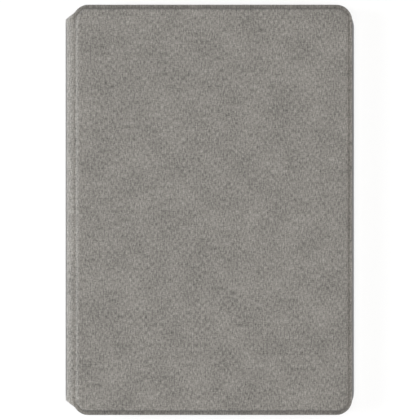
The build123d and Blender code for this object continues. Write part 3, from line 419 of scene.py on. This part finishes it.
def cover_skin(name, material, hem, rise, spine_rise, end_z):
    """A sheet that covers the keyboard cover and runs round the crease to half way down the spine.

    hem holds (inset, z) from the turned edge to the crease line, rise and spine_rise hold
    (inset, z) from there inwards on the free sides and on the spine side.
    """
    points, uvs, faces, painted_light_and_shade = [], [], [], {}
    free_run = run_lengths(hem + rise)
    spine_run = run_lengths([(0.0, hem[-1][1])] + spine_rise)
    last_free, last_spine = rise[-1][0], spine_rise[-1][0]
    crease_u = last_spine - spine_run[0]

    def add(point, uv):
        points.append(point)
        uvs.append(uv)
        return len(points) - 1

    def quad(*corners):
        faces.append(corners)

    def paint_shade(ring, shape, amount):
        """Records the painted shade of the hem creases; the short sides most, the spine side not.
        """
        for i, index in enumerate(ring):
            step = shape[min(i + 1, len(shape) - 1)] - shape[max(i - 1, 0)]
            short_side = abs(step.x) / max(step.length, 1e-9)
            share = LONG_SIDE_PAINTED_SHADE + (1.0 - LONG_SIDE_PAINTED_SHADE) * short_side**2
            painted_light_and_shade[index] = amount * share

    crease_inset = rise[0][0]
    open_rings = []
    for (inset, z), run in zip(hem, free_run):
        shape = cover_chain(inset, 0.0)
        flat = cover_chain(last_free - run, crease_u)
        open_rings.append([add((p.x, p.y, z), (q.x, q.y)) for p, q in zip(shape, flat)])
        # painted shade in the hem, full at the crease line
        amount = HEM_PAINTED_SHADE + (1.0 - HEM_PAINTED_SHADE) * inset / crease_inset
        paint_shade(open_rings[-1], shape, min(1.0, amount))
    closed_rings = []
    for (inset, z), (spine_inset, spine_z), run, side_run in zip(
        rise, spine_rise, free_run[len(hem) :], spine_run[1:]
    ):
        shape = cover_chain(inset, spine_inset)
        flat = cover_chain(last_free - run, last_spine - side_run)
        count = len(shape)
        chain = []
        depth = max(0.0, 1.0 - (inset - crease_inset) / PAINTED_SHADE_FADE)
        for i, (p, q) in enumerate(zip(shape, flat)):
            near = max(0.0, 1.0 - min(i, count - 1 - i) / CHAIN_STRAIGHTS[0])
            chain.append(add((p.x, p.y, z + (spine_z - z) * near), (q.x, q.y)))
        # painted shade fading up the rise
        paint_shade(chain, shape, depth)
        side = [chain[-1]]
        top, bottom = shape[-1], shape[0]
        flat_top, flat_bottom = flat[-1], flat[0]
        for k in range(1, SIDE_POINTS):
            t = k / SIDE_POINTS
            p, q = top.lerp(bottom, t), flat_top.lerp(flat_bottom, t)
            side.append(add((p.x, p.y, spine_z), (q.x, q.y)))
            # painted light on the spine side
            painted_light_and_shade[side[-1]] = -SPINE_PAINTED_LIGHT * depth
        side.append(chain[0])
        closed_rings.append((chain, side))
    chains = open_rings + [ring[0] for ring in closed_rings]
    for outer, inner in zip(chains[:-1], chains[1:]):
        for i in range(len(outer) - 1):
            quad(outer[i], outer[i + 1], inner[i + 1], inner[i])
    for (_, outer), (_, inner) in zip(closed_rings[:-1], closed_rings[1:]):
        for i in range(SIDE_POINTS):
            quad(outer[i], outer[i + 1], inner[i + 1], inner[i])
    # the row along the crease, from the +Y edge round to the -Y edge
    row_side = [open_rings[-1][-1]]
    top, bottom = Vector(points[open_rings[-1][-1]]), Vector(points[open_rings[-1][0]])
    for k in range(1, SIDE_POINTS):
        p = top.lerp(bottom, k / SIDE_POINTS)
        row_side.append(add(tuple(p), (crease_x + crease_u, p.y)))
        # painted light along the crease row
        painted_light_and_shade[row_side[-1]] = -SPINE_PAINTED_LIGHT
    row_side.append(open_rings[-1][0])
    first_side = closed_rings[0][1]
    for i in range(SIDE_POINTS):
        quad(row_side[i], row_side[i + 1], first_side[i + 1], first_side[i])
    row = [ring[-1] for ring in open_rings[:-1]] + row_side
    row += [ring[0] for ring in reversed(open_rings[:-1])]
    base = [Vector(points[i]) for i in row]
    mid_radius = base[len(base) // 2].z - upper_z
    previous = row
    for k in range(1, ARC_STEPS + 1):
        a = math.pi / 2 * k / ARC_STEPS
        current = []
        for p in base:
            r = p.z - upper_z
            x = crease_x - r * math.sin(a)
            squeeze = (crease_half - spine_half) * math.sin(a)
            share = min(1.0, abs(p.y) / (TAPER_SHARE * crease_half))
            y = p.y - math.copysign(squeeze, p.y) * share
            current.append(
                add((x, y, upper_z + r * math.cos(a)), (crease_x + crease_u - mid_radius * a, y))
            )
            # painted light on the crease arc, fading as it turns up to the cover
            painted_light_and_shade[current[-1]] = -SPINE_PAINTED_LIGHT * math.cos(a)
        for i in range(len(row) - 1):
            quad(current[i], current[i + 1], previous[i + 1], previous[i])
        previous = current
    spine_row = [points[i] for i in previous]
    for k in range(1, SPINE_DROPS + 1):
        z = upper_z + (end_z - upper_z) * k / SPINE_DROPS
        current = []
        bulge = SPINE_SWELL * math.sin(math.pi / 2 * k / SPINE_DROPS)
        for i, base_point in zip(previous, spine_row):
            u = crease_x + crease_u - mid_radius * math.pi / 2 - (upper_z - z)
            x, y = base_point[0] - bulge, base_point[1]
            current.append(add((x, y, z), (u, y)))
        for i in range(len(row) - 1):
            quad(current[i], current[i + 1], previous[i + 1], previous[i])
        previous = current
    chain, side = closed_rings[-1]
    faces.append(tuple(chain + side[1:-1]))
    made = piece(name, points, faces, uvs, material)
    # painted shade on the hem creases and painted light on the spine, stored per point
    layer = made.data.attributes.new("painted_light_and_shade", "FLOAT", "POINT")
    layer.data.foreach_set("value", [painted_light_and_shade.get(i, 0.0) for i in range(len(points))])
    return made


def heights(base, pairs):
    return [(inset * MM, base + z * MM) for inset, z in pairs]


hem = heights(
    flange_top,
    [(1.2, -0.84), (0.4, -0.82), (0.08, -0.72), (0.0, -0.5), (0.12, -0.26), (0.42, -0.1)]
    + [(0.9, -0.02), (1.4, -0.03), (1.8, -0.15), (2.1, -0.34)],
)
rise = heights(
    flange_top,
    [(2.3, -0.38), (2.45, -0.3), (2.6, -0.04), (2.76, 0.32), (2.98, 0.62), (3.35, 0.82)]
    + [(3.8, 0.91), (4.4, 0.93), (5.2, 0.885), (6.2, 0.87), (8.0, 0.87)],
)
spine_rise = heights(
    flange_top,
    [(0.5, -0.4), (0.9, -0.33), (1.25, -0.04), (1.68, 0.38), (2.15, 0.68), (2.75, 0.84)]
    + [(3.4, 0.91), (4.0, 0.92), (4.6, 0.885), (5.3, 0.87), (6.4, 0.87)],
)
cover_skin_piece = cover_skin(
    "cover_outer_fabric", outer_fabric, hem, rise, spine_rise, split_z
)


def flat_extent(made):
    """Width and length of a piece's cut, read from its UV map, which is in metres."""
    uv = [loop.uv for loop in made.data.uv_layers[0].data]
    return (
        max(p.x for p in uv) - min(p.x for p in uv),
        max(p.y for p in uv) - min(p.y for p in uv),
    )


# ------------------------------------------------------------------ swept strips of cloth
def swept_sheet(name, path, half_lengths, material, columns=64, curl=0.5 * MM):
    """A strip that follows path, a list of (x, z), with ends turned in by curl.

    half_lengths holds the strip's half length at each path point. The cloth's face is on the
    left of the path's direction, seen from -Y.
    """
    run = [0.0]
    for (ax, az), (bx, bz) in zip(path[:-1], path[1:]):
        run.append(run[-1] + math.hypot(bx - ax, bz - az))
    normals = []
    for i in range(len(path)):
        before, after = path[max(i - 1, 0)], path[min(i + 1, len(path) - 1)]
        step = Vector((after[0] - before[0], after[1] - before[1])).normalized()
        normals.append((-step.y, step.x))
    # how far in from the end and how deep, both as shares of curl
    turned = [(0.8, 0.0), (0.3, 0.12), (0.06, 0.5), (0.0, 1.0)]
    points, uvs, rows = [], [], []
    for (x, z), (nx, nz), u, half in zip(path, normals, run, half_lengths):
        row = []
        stations = [(-half + a * curl, d) for a, d in reversed(turned)]
        inner = half - 2 * curl
        stations += [(-inner + 2 * inner * k / columns, 0.0) for k in range(columns + 1)]
        stations += [(half - a * curl, d) for a, d in turned]
        for y, depth in stations:
            row.append(len(points))
            points.append((x - nx * depth * curl, y, z - nz * depth * curl))
            uvs.append((u, y))
        rows.append(row)
    faces = []
    for lower_row, upper_row in zip(rows[:-1], rows[1:]):
        for i in range(len(lower_row) - 1):
            faces.append((lower_row[i], upper_row[i], upper_row[i + 1], lower_row[i + 1]))
    return piece(name, points, faces, uvs, material)


def tapered(path, wide, narrow):
    """Half length of a strip at each path point, narrowing from the crease line to the spine."""
    share = [min(1.0, max(0.0, (crease_x - x) / spine_radius)) for x, _ in path]
    return [wide + (narrow - wide) * t for t in share]


CLOTH = high("dock_fabric").z - low("dock_fabric").z
LINING_CURL = 0.25 * MM


def crease_arc(centre_z, first, last, side):
    """The quarter turn of a soft crease from the crease line to the spine, radius first to last."""
    points = []
    for k in range(ARC_STEPS + 1):
        a, radius = math.pi / 2 * k / ARC_STEPS, first + (last - first) * k / ARC_STEPS
        points.append((crease_x - radius * math.sin(a), centre_z + side * radius * math.cos(a)))
    return points


def between(a, b, count):
    """Points from a to b, both left out."""
    points = []
    for k in range(1, count):
        points.append((a[0] + (b[0] - a[0]) * k / count, a[1] + (b[1] - a[1]) * k / count))
    return points


def bends(made):
    """Bakes a cloth piece's transform into its mesh."""
    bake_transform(made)


bends(cover_skin_piece)
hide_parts("cover_fabric", "cover_crease")

dock_edge = (high("dock_fabric").x, dock_bottom)
dock_path = [
    (dock_edge[0] - 0.02 * MM, dock_bottom + 0.95 * CLOTH),
    (dock_edge[0], dock_bottom + 0.35 * MM),
    (dock_edge[0] - 0.08 * MM, dock_bottom + 0.1 * MM),
    (dock_edge[0] - 0.35 * MM, dock_bottom),
]
dock_path += between(dock_path[-1], (crease_x, dock_bottom), 5)
dock_path += crease_arc(lower_z, spine_radius, spine_radius, -1)
for k in range(1, SPINE_DROPS + 1):
    share = k / SPINE_DROPS
    swell = SPINE_SWELL * math.sin(math.pi / 2 * share)
    dock_path.append((spine_x - swell, lower_z + (split_z - lower_z) * share))
dock_skin = swept_sheet(
    "dock_outer_fabric",
    dock_path,
    tapered(dock_path, crease_half, spine_half),
    outer_fabric,
    curl=CLOTH,
)
bends(dock_skin)
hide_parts("dock_fabric", "dock_crease", "spine_fabric")

# ------------------------------------------------------------------ inner linings
inner_x = high("spine_lining").x
LINING_MARGIN = 0.4 * MM  # the lining ends this far short of the outer fabric
inner_half = spine_half - LINING_MARGIN
lining_low = low("cover_lining").z
module_x = low("keyboard_chassis").x
upper_path = [(module_x - 0.05 * MM, lining_low)]
upper_path += between(upper_path[0], (crease_x, lining_low), 4)
upper_path += crease_arc(upper_z, lining_low - upper_z, crease_x - inner_x, 1)
upper_path += [(inner_x, (upper_z + split_z) / 2), (inner_x, split_z)]
upper_lining = swept_sheet(
    "cover_crease_lining",
    upper_path,
    tapered(upper_path, crease_half - LINING_MARGIN, inner_half),
    lining_cloth,
    curl=LINING_CURL,
)
bends(upper_lining)

dock_floor = low("dock_bar").z + 0.5 * MM
dock_wall_x = low("dock_bar").x - 0.5 * MM
lower_path = [(inner_x, split_z), (inner_x, (lower_z + split_z) / 2)]
lower_path += crease_arc(lower_z, lower_z - dock_floor, crease_x - inner_x, -1)[::-1]
lower_path += [((crease_x + dock_wall_x) / 2, dock_floor), (dock_wall_x, dock_floor)]
lower_lining = swept_sheet(
    "dock_crease_lining",
    lower_path,
    tapered(lower_path, high("dock_bar").y, inner_half),
    lining_cloth,
    curl=LINING_CURL,
)
bends(lower_lining)
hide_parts("spine_lining")

dock_top = high("dock_bar").z
wall_path = [(dock_wall_x, dock_floor - 0.1 * MM)]
wall_path += between(wall_path[0], (dock_wall_x, dock_top), 5)
wall_path += [
    (dock_wall_x, dock_top - 0.15 * MM),
    (dock_wall_x + 0.15 * MM, dock_top + 0.05 * MM),
    (low("dock_bar").x + 0.9 * MM, dock_top + 0.1 * MM),
    (low("dock_bar").x + 1.0 * MM, dock_top),
]
wall_lining = swept_sheet(
    "dock_wall_lining",
    wall_path,
    [high("dock_bar").y] * len(wall_path),
    lining_cloth,
    curl=LINING_CURL,
)
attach(wall_lining, "dock")
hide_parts("dock_lining")


# ------------------------------------------------------------------ flat sheets with cut-outs
def moved_in(loop, distance):
    """The loop moved to its left by distance; a counter-clockwise loop shrinks."""
    moved = []
    count = len(loop)
    for i, point in enumerate(loop):
        a = (point - loop[i - 1]).normalized()
        b = (loop[(i + 1) % count] - point).normalized()
        normal = Vector((-a.y - b.y, a.x + b.x))
        normal = normal.normalized() / max(0.5, math.sqrt((1 + a.dot(b)) / 2))
        moved.append(point + normal * distance)
    return moved


def rounded(corners, radii, steps=8):
    """A closed outline from corners, each rounded by its own radius."""
    loop = []
    for i, corner in enumerate(corners):
        radius = radii[i]
        before = (Vector(corners[i - 1]) - Vector(corner)).normalized()
        after = (Vector(corners[(i + 1) % len(corners)]) - Vector(corner)).normalized()
        if radius == 0:
            loop.append(Vector(corner))
            continue
        half = before.angle(after) / 2
        reach = radius / math.tan(half)
        start, end = Vector(corner) + before * reach, Vector(corner) + after * reach
        centre = Vector(corner) + (before + after).normalized() * radius / math.sin(half)
        sweep = (start - centre).angle_signed(end - centre)
        for k in range(steps + 1):
            turn = Matrix.Rotation(-sweep * k / steps, 2)
            loop.append(centre + turn @ (start - centre))
    return loop


def flat_sheet(name, outline, holes, face_z, back_z, material):
    """A flat sheet with rounded edges. The outline runs counter-clockwise and holes clockwise."""
    up = 1 if face_z > back_z else -1
    depth = abs(face_z - back_z)
    soft = min(0.3 * MM, 0.6 * depth)
    profile = [(0.0, depth), (0.0, soft), (0.1 * soft, 0.45 * soft), (0.4 * soft, 0.1 * soft)]
    profile += [(soft, 0.0)]
    points, uvs, faces, last_rings = [], [], [], []
    for loop in [outline, *holes]:
        rings = []
        for inset, drop in profile:
            ring = []
            for p in moved_in(loop, inset):
                ring.append(len(points))
                points.append((p.x, p.y, face_z - up * drop))
                uvs.append((p.x, p.y - up * drop))
            rings.append(ring)
        count = len(loop)
        for outer, inner in zip(rings[:-1], rings[1:]):
            for i in range(count):
                quad = (outer[i], outer[(i + 1) % count], inner[(i + 1) % count], inner[i])
                faces.append(quad if up > 0 else quad[::-1])
        last_rings.append(rings[-1])
    loops = [[Vector(points[i]) for i in ring] for ring in last_rings]
    index = [i for ring in last_rings for i in ring]
    for triangle in tessellate_polygon(loops):
        a, b, c = (index[i] for i in triangle)
        pa, pb, pc = Vector(points[a]), Vector(points[b]), Vector(points[c])
        facing = (pb - pa).cross(pc - pa).z
        if abs(facing) > 0:
            faces.append((a, b, c) if facing * up > 0 else (c, b, a))
    return piece(name, points, faces, uvs, material)


def rectangle(x0, x1, y0, y1, radii):
    return rounded([(x0, y0), (x1, y0), (x1, y1), (x0, y1)], radii)


ring_centre = (low("camera_ring") + high("camera_ring")) / 2
ring_size = high("camera_ring") - low("camera_ring")
HOLE_GAP = 0.06 * MM  # cloth is cut this far clear of the camera's trim ring


def camera_hole():
    grow = HOLE_GAP
    half_x, half_y = ring_size.x / 2 + grow, ring_size.y / 2 + grow
    return rectangle(
        ring_centre.x - half_x,
        ring_centre.x + half_x,
        ring_centre.y - half_y,
        ring_centre.y + half_y,
        [half_x - 0.01 * MM] * 4,
    )[::-1]


RECESS_GAP = 0.5 * MM
RECESS_EDGE = 1.05 * MM  # the recess ends this far past the kickstand
NOTCH_RADIUS = 4.5 * MM
NOTCH_HALF = 13.0 * MM
stand_low, stand_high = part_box("kickstand_fabric")
back_low, back_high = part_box("back_fabric")
BACK_CORNER = 11.9 * MM
TRAY_CORNER = 11.7 * MM
TIGHT = 0.4 * MM  # radius of a corner that looks sharp
recess_left = stand_low.x - RECESS_GAP
recess_half = stand_high.y + RECESS_GAP
notch_x = stand_low.x - NOTCH_RADIUS
recess = rounded(
    [
        (recess_left, -recess_half),
        (stand_high.x + RECESS_EDGE, -recess_half),
        (stand_high.x + RECESS_EDGE, recess_half),
        (recess_left, recess_half),
        (recess_left, NOTCH_HALF),
        (notch_x, NOTCH_HALF),
        (notch_x, -NOTCH_HALF),
        (recess_left, -NOTCH_HALF),
    ],
    [TIGHT] * 5 + [3.4 * MM] * 2 + [TIGHT],
)[::-1]
back_outline = rectangle(back_low.x, back_high.x, back_low.y, back_high.y, [BACK_CORNER] * 4)
back_sheet = flat_sheet(
    "back_outer_fabric",
    back_outline,
    [recess, camera_hole()],
    back_low.z,
    back_high.z,
    outer_fabric,
)
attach(back_sheet, "back_case")
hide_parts("back_fabric")

KNUCKLE_HALF = 18.3 * MM
KNUCKLE_DEPTH = 1.6 * MM
BRACKET_HALF = 17.9 * MM
hinge_y = high("hinge_brackets").y - BRACKET_HALF
notch_in = stand_high.x - KNUCKLE_DEPTH
stand_corners = [(stand_low.x, stand_low.y), (stand_high.x, stand_low.y)]
for side in (-1, 1):
    stand_corners += [
        (stand_high.x, side * hinge_y - KNUCKLE_HALF),
        (notch_in, side * hinge_y - KNUCKLE_HALF),
        (notch_in, side * hinge_y + KNUCKLE_HALF),
        (stand_high.x, side * hinge_y + KNUCKLE_HALF),
    ]
stand_corners += [(stand_high.x, stand_high.y), (stand_low.x, stand_high.y)]
STAND_CORNER = 5.0 * MM
stand_radii = [STAND_CORNER] + [TIGHT] * (len(stand_corners) - 2) + [STAND_CORNER]
stand_sheet = flat_sheet(
    "kickstand_outer_fabric",
    rounded(stand_corners, stand_radii),
    [],
    stand_low.z,
    stand_high.z,
    outer_fabric,
)
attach(stand_sheet, "kickstand")
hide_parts("kickstand_fabric")

tray_low, tray_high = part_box("tray_lining")
tray_sheet = flat_sheet(
    "tray_lining_cloth",
    rectangle(tray_low.x, tray_high.x, tray_low.y, tray_high.y, [TRAY_CORNER] * 4),
    [camera_hole()],
    tray_high.z,
    tray_low.z,
    lining_cloth,
)
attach(tray_sheet, "back_case")
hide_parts("tray_lining")

module_low, module_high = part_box("keyboard_chassis")
MODULE_CORNER = 7.5 * MM
MODULE_GAP = 0.05 * MM
border = cover_chain(0.6 * MM, 0.3 * MM)
border_sheet = flat_sheet(
    "cover_border_lining",
    border,
    [
        rectangle(
            module_low.x - MODULE_GAP,
            module_high.x + MODULE_GAP,
            module_low.y - MODULE_GAP,
            module_high.y + MODULE_GAP,
            [MODULE_CORNER] * 4,
        )[::-1]
    ],
    lining_low + 0.03 * MM,
    high("cover_lining").z,
    lining_cloth,
)
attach(border_sheet, "cover")
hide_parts("cover_lining")

# ------------------------------------------------------------------ key legends
KEY_PITCH = 17.2 * MM
KEY_GAP = 1.8 * MM
LEGEND_LIFT = 0.012 * MM
STROKE = 0.42 * MM


def glyph(text, size):
    """Triangles of a character, as lists of (right, up) points about its middle."""
    curve = bpy.data.curves.new("glyph", "FONT")
    curve.body = text
    curve.size = size
    curve.align_x, curve.align_y = "CENTER", "CENTER"
    curve.resolution_u = 3
    holder = bpy.data.objects.new("glyph", curve)
    mesh = bpy.data.meshes.new_from_object(holder)
    shapes = [[tuple(mesh.vertices[i].co.xy) for i in face.vertices] for face in mesh.polygons]
    xs = [x for shape in shapes for x, _ in shape]
    middle = (min(xs) + max(xs)) / 2
    bpy.data.objects.remove(holder)
    bpy.data.meshes.remove(mesh)
    bpy.data.curves.remove(curve)
    return [[(x - middle, y) for x, y in shape] for shape in shapes]


def strokes(lines, size):
    """Bars along lines of ((right, up), (right, up)) in units of size."""
    shapes = []
    for a, b in lines:
        a, b = Vector(a) * size, Vector(b) * size
        along = (b - a).normalized() * STROKE / 2
        across = Vector((-along.y, along.x))
        a, b = a - along, b + along
        shapes.append([tuple(p) for p in (a - across, b - across, b + across, a + across)])
    return shapes


def triangle(turn, size):
    """A filled arrow head that points up, turned by quarter turns to the left."""
    points = [Vector((0, 0.6)), Vector((-0.6, -0.45)), Vector((0.6, -0.45))]
    spin = Matrix.Rotation(math.pi / 2 * turn, 2)
    return [[tuple(spin @ p * size) for p in points]]


ICONS = {
    "tab": [
        ((-1, 0), (0.7, 0)),
        ((0.2, 0.5), (0.7, 0)),
        ((0.2, -0.5), (0.7, 0)),
        ((1, -0.5), (1, 0.5)),
    ],
    "back": [((-1, 0), (1, 0)), ((-1, 0), (-0.45, 0.5)), ((-1, 0), (-0.45, -0.5))],
    "shift": [((0, -0.8), (0, 0.8)), ((0, 0.8), (-0.6, 0.1)), ((0, 0.8), (0.6, 0.1))],
    "caps": [
        ((0, -0.3), (0, 0.8)),
        ((0, 0.8), (-0.6, 0.2)),
        ((0, 0.8), (0.6, 0.2)),
        ((-0.6, -0.8), (0.6, -0.8)),
    ],
    "enter": [
        ((0.9, 0.6), (0.9, -0.2)),
        ((0.9, -0.2), (-0.9, -0.2)),
        ((-0.9, -0.2), (-0.4, 0.3)),
        ((-0.9, -0.2), (-0.4, -0.7)),
    ],
    "cross": [((-0.5, -0.5), (0.5, 0.5)), ((-0.5, 0.5), (0.5, -0.5))],
    "square": [
        ((-0.5, -0.5), (0.5, -0.5)),
        ((0.5, -0.5), (0.5, 0.5)),
        ((0.5, 0.5), (-0.5, 0.5)),
        ((-0.5, 0.5), (-0.5, -0.5)),
    ],
    "diamond": [
        ((0, -0.6), (0.6, 0)),
        ((0.6, 0), (0, 0.6)),
        ((0, 0.6), (-0.6, 0)),
        ((-0.6, 0), (0, -0.6)),
    ],
    "bars": [((-0.6, 0.4), (0.6, 0.4)), ((-0.6, 0), (0.6, 0)), ((-0.6, -0.4), (0.6, -0.4))],
    "plus": [((-0.6, 0), (0.6, 0)), ((0, -0.6), (0, 0.6))],
    "bar": [((-0.6, 0), (0.6, 0))],
}


def legend_piece(node, placed):
    """One printed mesh for a key group: placed holds (x, y, shapes) for each cap."""
    face_z = low(node).z - LEGEND_LIFT
    points, faces = [], []
    for x, y, shapes in placed:
        for shape in shapes:
            start = len(points)
            points += [(x - up, y - right, face_z) for right, up in shape]
            faces.append(tuple(range(start, start + len(shape))))
    uvs = [(point[0], point[1]) for point in points]
    made = piece("legend_" + node, points, faces, uvs, legend_ink)
    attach(made, node)


def key_row(node, marks, size, pitch=KEY_PITCH, start=None):
    """Prints single characters along a row of equal keys, from the user's left at +Y."""
    x = (low(node).x + high(node).x) / 2
    first = high(node).y + KEY_GAP / 2 if start is None else start
    return [
        (x, first - pitch * (i + 0.5), glyph(mark, size)) for i, mark in enumerate(marks) if mark
    ]


LETTER = 5.4 * MM
SMALL = 3.1 * MM
ICON = 2.2 * MM
legend_piece("number_keys", key_row("number_keys", "1234567890-=", LETTER))
upper_row = key_row("upper_letter_keys", "QWERTYUIOP[]", LETTER)
WIDE_KEY_STEP = 0.875 * KEY_PITCH  # the last key of the row is three quarters wide
upper_row += [(upper_row[0][0], upper_row[-1][1] - WIDE_KEY_STEP, glyph("/", LETTER))]
legend_piece("upper_letter_keys", upper_row)
legend_piece("home_letter_keys", key_row("home_letter_keys", "ASDFGHJKL;'", LETTER))
legend_piece("lower_letter_keys", key_row("lower_letter_keys", "ZXCVBNM,.?", LETTER))
function_names = [""] + [f"F{i}" for i in range(1, 13)] + [""]
function_row = key_row("function_keys", function_names, SMALL)
function_x = function_row[0][0]
first_y = high("function_keys").y + KEY_GAP / 2 - KEY_PITCH / 2
function_row += [
    (function_x, first_y, strokes(ICONS["cross"], ICON)),
    (function_x, -first_y, strokes(ICONS["square"], ICON)),
]
legend_piece("function_keys", function_row)
for node, icon in (
    ("tab_key", "tab"),
    ("backspace_key", "back"),
    ("caps_lock_key", "caps"),
    ("enter_key", "enter"),
    ("left_shift_key", "shift"),
    ("right_shift_key", "shift"),
):
    centre = (low(node) + high(node)) / 2
    legend_piece(node, [(centre.x, centre.y, strokes(ICONS[icon], ICON))])
modifier_x = (low("modifier_keys").x + high("modifier_keys").x) / 2
modifier_y = high("modifier_keys").y + KEY_GAP / 2
space_y = low("space_bar").y - KEY_GAP / 2
legend_piece(
    "modifier_keys",
    [
        (modifier_x, modifier_y - KEY_PITCH * (i + 0.5), strokes(ICONS[icon], ICON))
        for i, icon in enumerate(("bars", "plus", "square", "diamond"))
    ]
    + [
        (modifier_x, space_y - KEY_PITCH * (i + 0.5), strokes(ICONS[icon], ICON))
        for i, icon in enumerate(("diamond", "bars"))
    ],
)
arrow_low, arrow_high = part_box("arrow_keys")
arrow_y = (arrow_low.y + arrow_high.y) / 2
arrow_x = (arrow_low.x + arrow_high.x) / 2
HALF_KEY = 4.15 * MM
legend_piece(
    "arrow_keys",
    [
        (arrow_x, arrow_y + KEY_PITCH, triangle(1, ICON)),
        (arrow_x - HALF_KEY, arrow_y, triangle(0, ICON)),
        (arrow_x + HALF_KEY, arrow_y, triangle(2, ICON)),
        (arrow_x, arrow_y - KEY_PITCH, triangle(3, ICON)),
    ],
)

# ------------------------------------------------------------------ what each sheet was cut to
SEAM = 1.5 * MM  # turned under at one side
BORDER_STRIP = (0.0108, 0.85)  # one strip round the keyboard, most of its width under the module
for sheet, held, rests_on in (
    (cover_skin_piece, "stretched", ["cover_board", "spine_board"]),
    (dock_skin, "stretched", ["dock_bar", "spine_board"]),
    (upper_lining, "stretched", ["cover_board", "spine_board"]),
    (lower_lining, "stretched", ["dock_bar", "spine_board"]),
    (wall_lining, "stretched", ["dock_bar"]),
    (back_sheet, "laid", ["back_plate"]),
    (stand_sheet, "laid", ["kickstand_plate"]),
    (tray_sheet, "laid", ["back_plate"]),
    (border_sheet, "laid", ["cover_board"]),
):
    width, length = flat_extent(sheet)
    width += SEAM
    if sheet is border_sheet:
        width, length = BORDER_STRIP

# ------------------------------------------------------------------ stage, light, camera
FLOOR_SHARE = 0.3  # how much of the floor is paint; the rest lets light through


def stage_material():
    """A pale, mostly see-through floor, so that what opens below it still shows."""
    g = Graph("pale_floor")
    g.tree.nodes.remove(g.shader)
    diffuse = g.node("BsdfDiffuse", {"Color": (0.92, 0.92, 0.92, 1.0)})
    mix = g.node("MixShader", {"Fac": FLOOR_SHARE})
    g.put(mix.inputs[1], g.node("BsdfTransparent").outputs[0])
    g.put(mix.inputs[2], diffuse.outputs[0])
    g.put(g.tree.nodes["Material Output"].inputs["Surface"], mix.outputs[0])
    return g.material


FLOOR = 8.0
floor_mesh = bpy.data.meshes.new("floor")
floor_mesh.from_pydata(
    [(-FLOOR, -FLOOR, 0), (FLOOR, -FLOOR, 0), (FLOOR, FLOOR, 0), (-FLOOR, FLOOR, 0)],
    [],
    [(0, 1, 2, 3)],
)
floor_mesh.materials.append(stage_material())
floor = bpy.data.objects.new("floor", floor_mesh)
floor.location.z = -0.05 * MM
bpy.context.scene.collection.objects.link(floor)


# a dark card under the camera window: painted shade standing in for the table there, which no light
# reaches
CARD = 16.0 * MM
painted_shade_card_mesh = bpy.data.meshes.new("painted_shade_card")
painted_shade_card_mesh.from_pydata(
    [
        (ring_centre.x + sx * CARD / 2, ring_centre.y + sy * CARD, -0.02 * MM)
        for sx, sy in ((-1, -1), (1, -1), (1, 1), (-1, 1))
    ],
    [],
    [(0, 1, 2, 3)],
)
painted_shade_card_mesh.materials.append(plate)
shade = bpy.data.objects.new("painted_shade_card", painted_shade_card_mesh)
bpy.context.scene.collection.objects.link(shade)


def studio_world(below, above):
    """White below the horizon and dim overhead, so that the lamps give the modelling."""
    world = bpy.data.worlds.new("studio")
    bpy.context.scene.world = world
    world.use_nodes = True
    tree = world.node_tree
    place = tree.nodes.new("ShaderNodeTexCoord")
    parts = tree.nodes.new("ShaderNodeSeparateXYZ")
    ramp = tree.nodes.new("ShaderNodeMapRange")
    ramp.interpolation_type = "SMOOTHSTEP"
    ramp.inputs["From Min"].default_value = 0.02
    ramp.inputs["From Max"].default_value = 0.4
    ramp.inputs["To Min"].default_value = below
    ramp.inputs["To Max"].default_value = above
    tree.links.new(place.outputs["Generated"], parts.inputs[0])
    tree.links.new(parts.outputs[2], ramp.inputs["Value"])
    tree.links.new(ramp.outputs[0], tree.nodes["Background"].inputs["Strength"])
    tree.nodes["Background"].inputs["Color"].default_value = (1.0, 1.0, 1.0, 1.0)


studio_world(1.1, 0.12)


def lamp(name, place, size, level, colour=(1.0, 1.0, 1.0)):
    """An area lamp aimed at the case. level is the brightness it gives a white card facing it."""
    distance = Vector(place).length
    light = bpy.data.lights.new(name, "AREA")
    light.shape = "RECTANGLE"
    light.size, light.size_y = size
    light.energy = level * math.pi**2 * distance**2
    light.color = colour
    made = bpy.data.objects.new(name, light)
    made.location = place
    made.rotation_euler = (-Vector(place)).to_track_quat("-Z", "Y").to_euler()
    bpy.context.scene.collection.objects.link(made)


# the low lamps model the ridge at the spine and the border, which also carries painted shade; the
# key is the cooler one
lamp("key_left", (-1.6, 0.0, 0.62), (0.9, 1.6), 1.05, (0.94, 0.985, 1.03))
lamp("fill_right", (1.6, 0.0, 0.8), (0.9, 1.6), 0.43, (0.98, 0.99, 1.0))
lamp("overhead", (0.0, 0.0, 5.0), (2.6, 2.6), 0.455, (1.01, 0.977, 0.932))

VIEW_WIDTH = 0.2599  # width of the view at the cover, in metres
LENS, SENSOR = 500.0, 36.0
camera_data = bpy.data.cameras.new("camera")
camera_data.lens = LENS
camera_data.sensor_width = SENSOR
camera_data.clip_end = 50.0
camera = bpy.data.objects.new("camera", camera_data)
CAMERA_SHIFT = -0.1 * MM  # along Y, which centres the case in the view
camera.location = (0.0, CAMERA_SHIFT, cover_top + VIEW_WIDTH * LENS / SENSOR)
bpy.context.scene.collection.objects.link(camera)
bpy.context.scene.camera = camera
bpy.context.scene.view_settings.view_transform = "Standard"
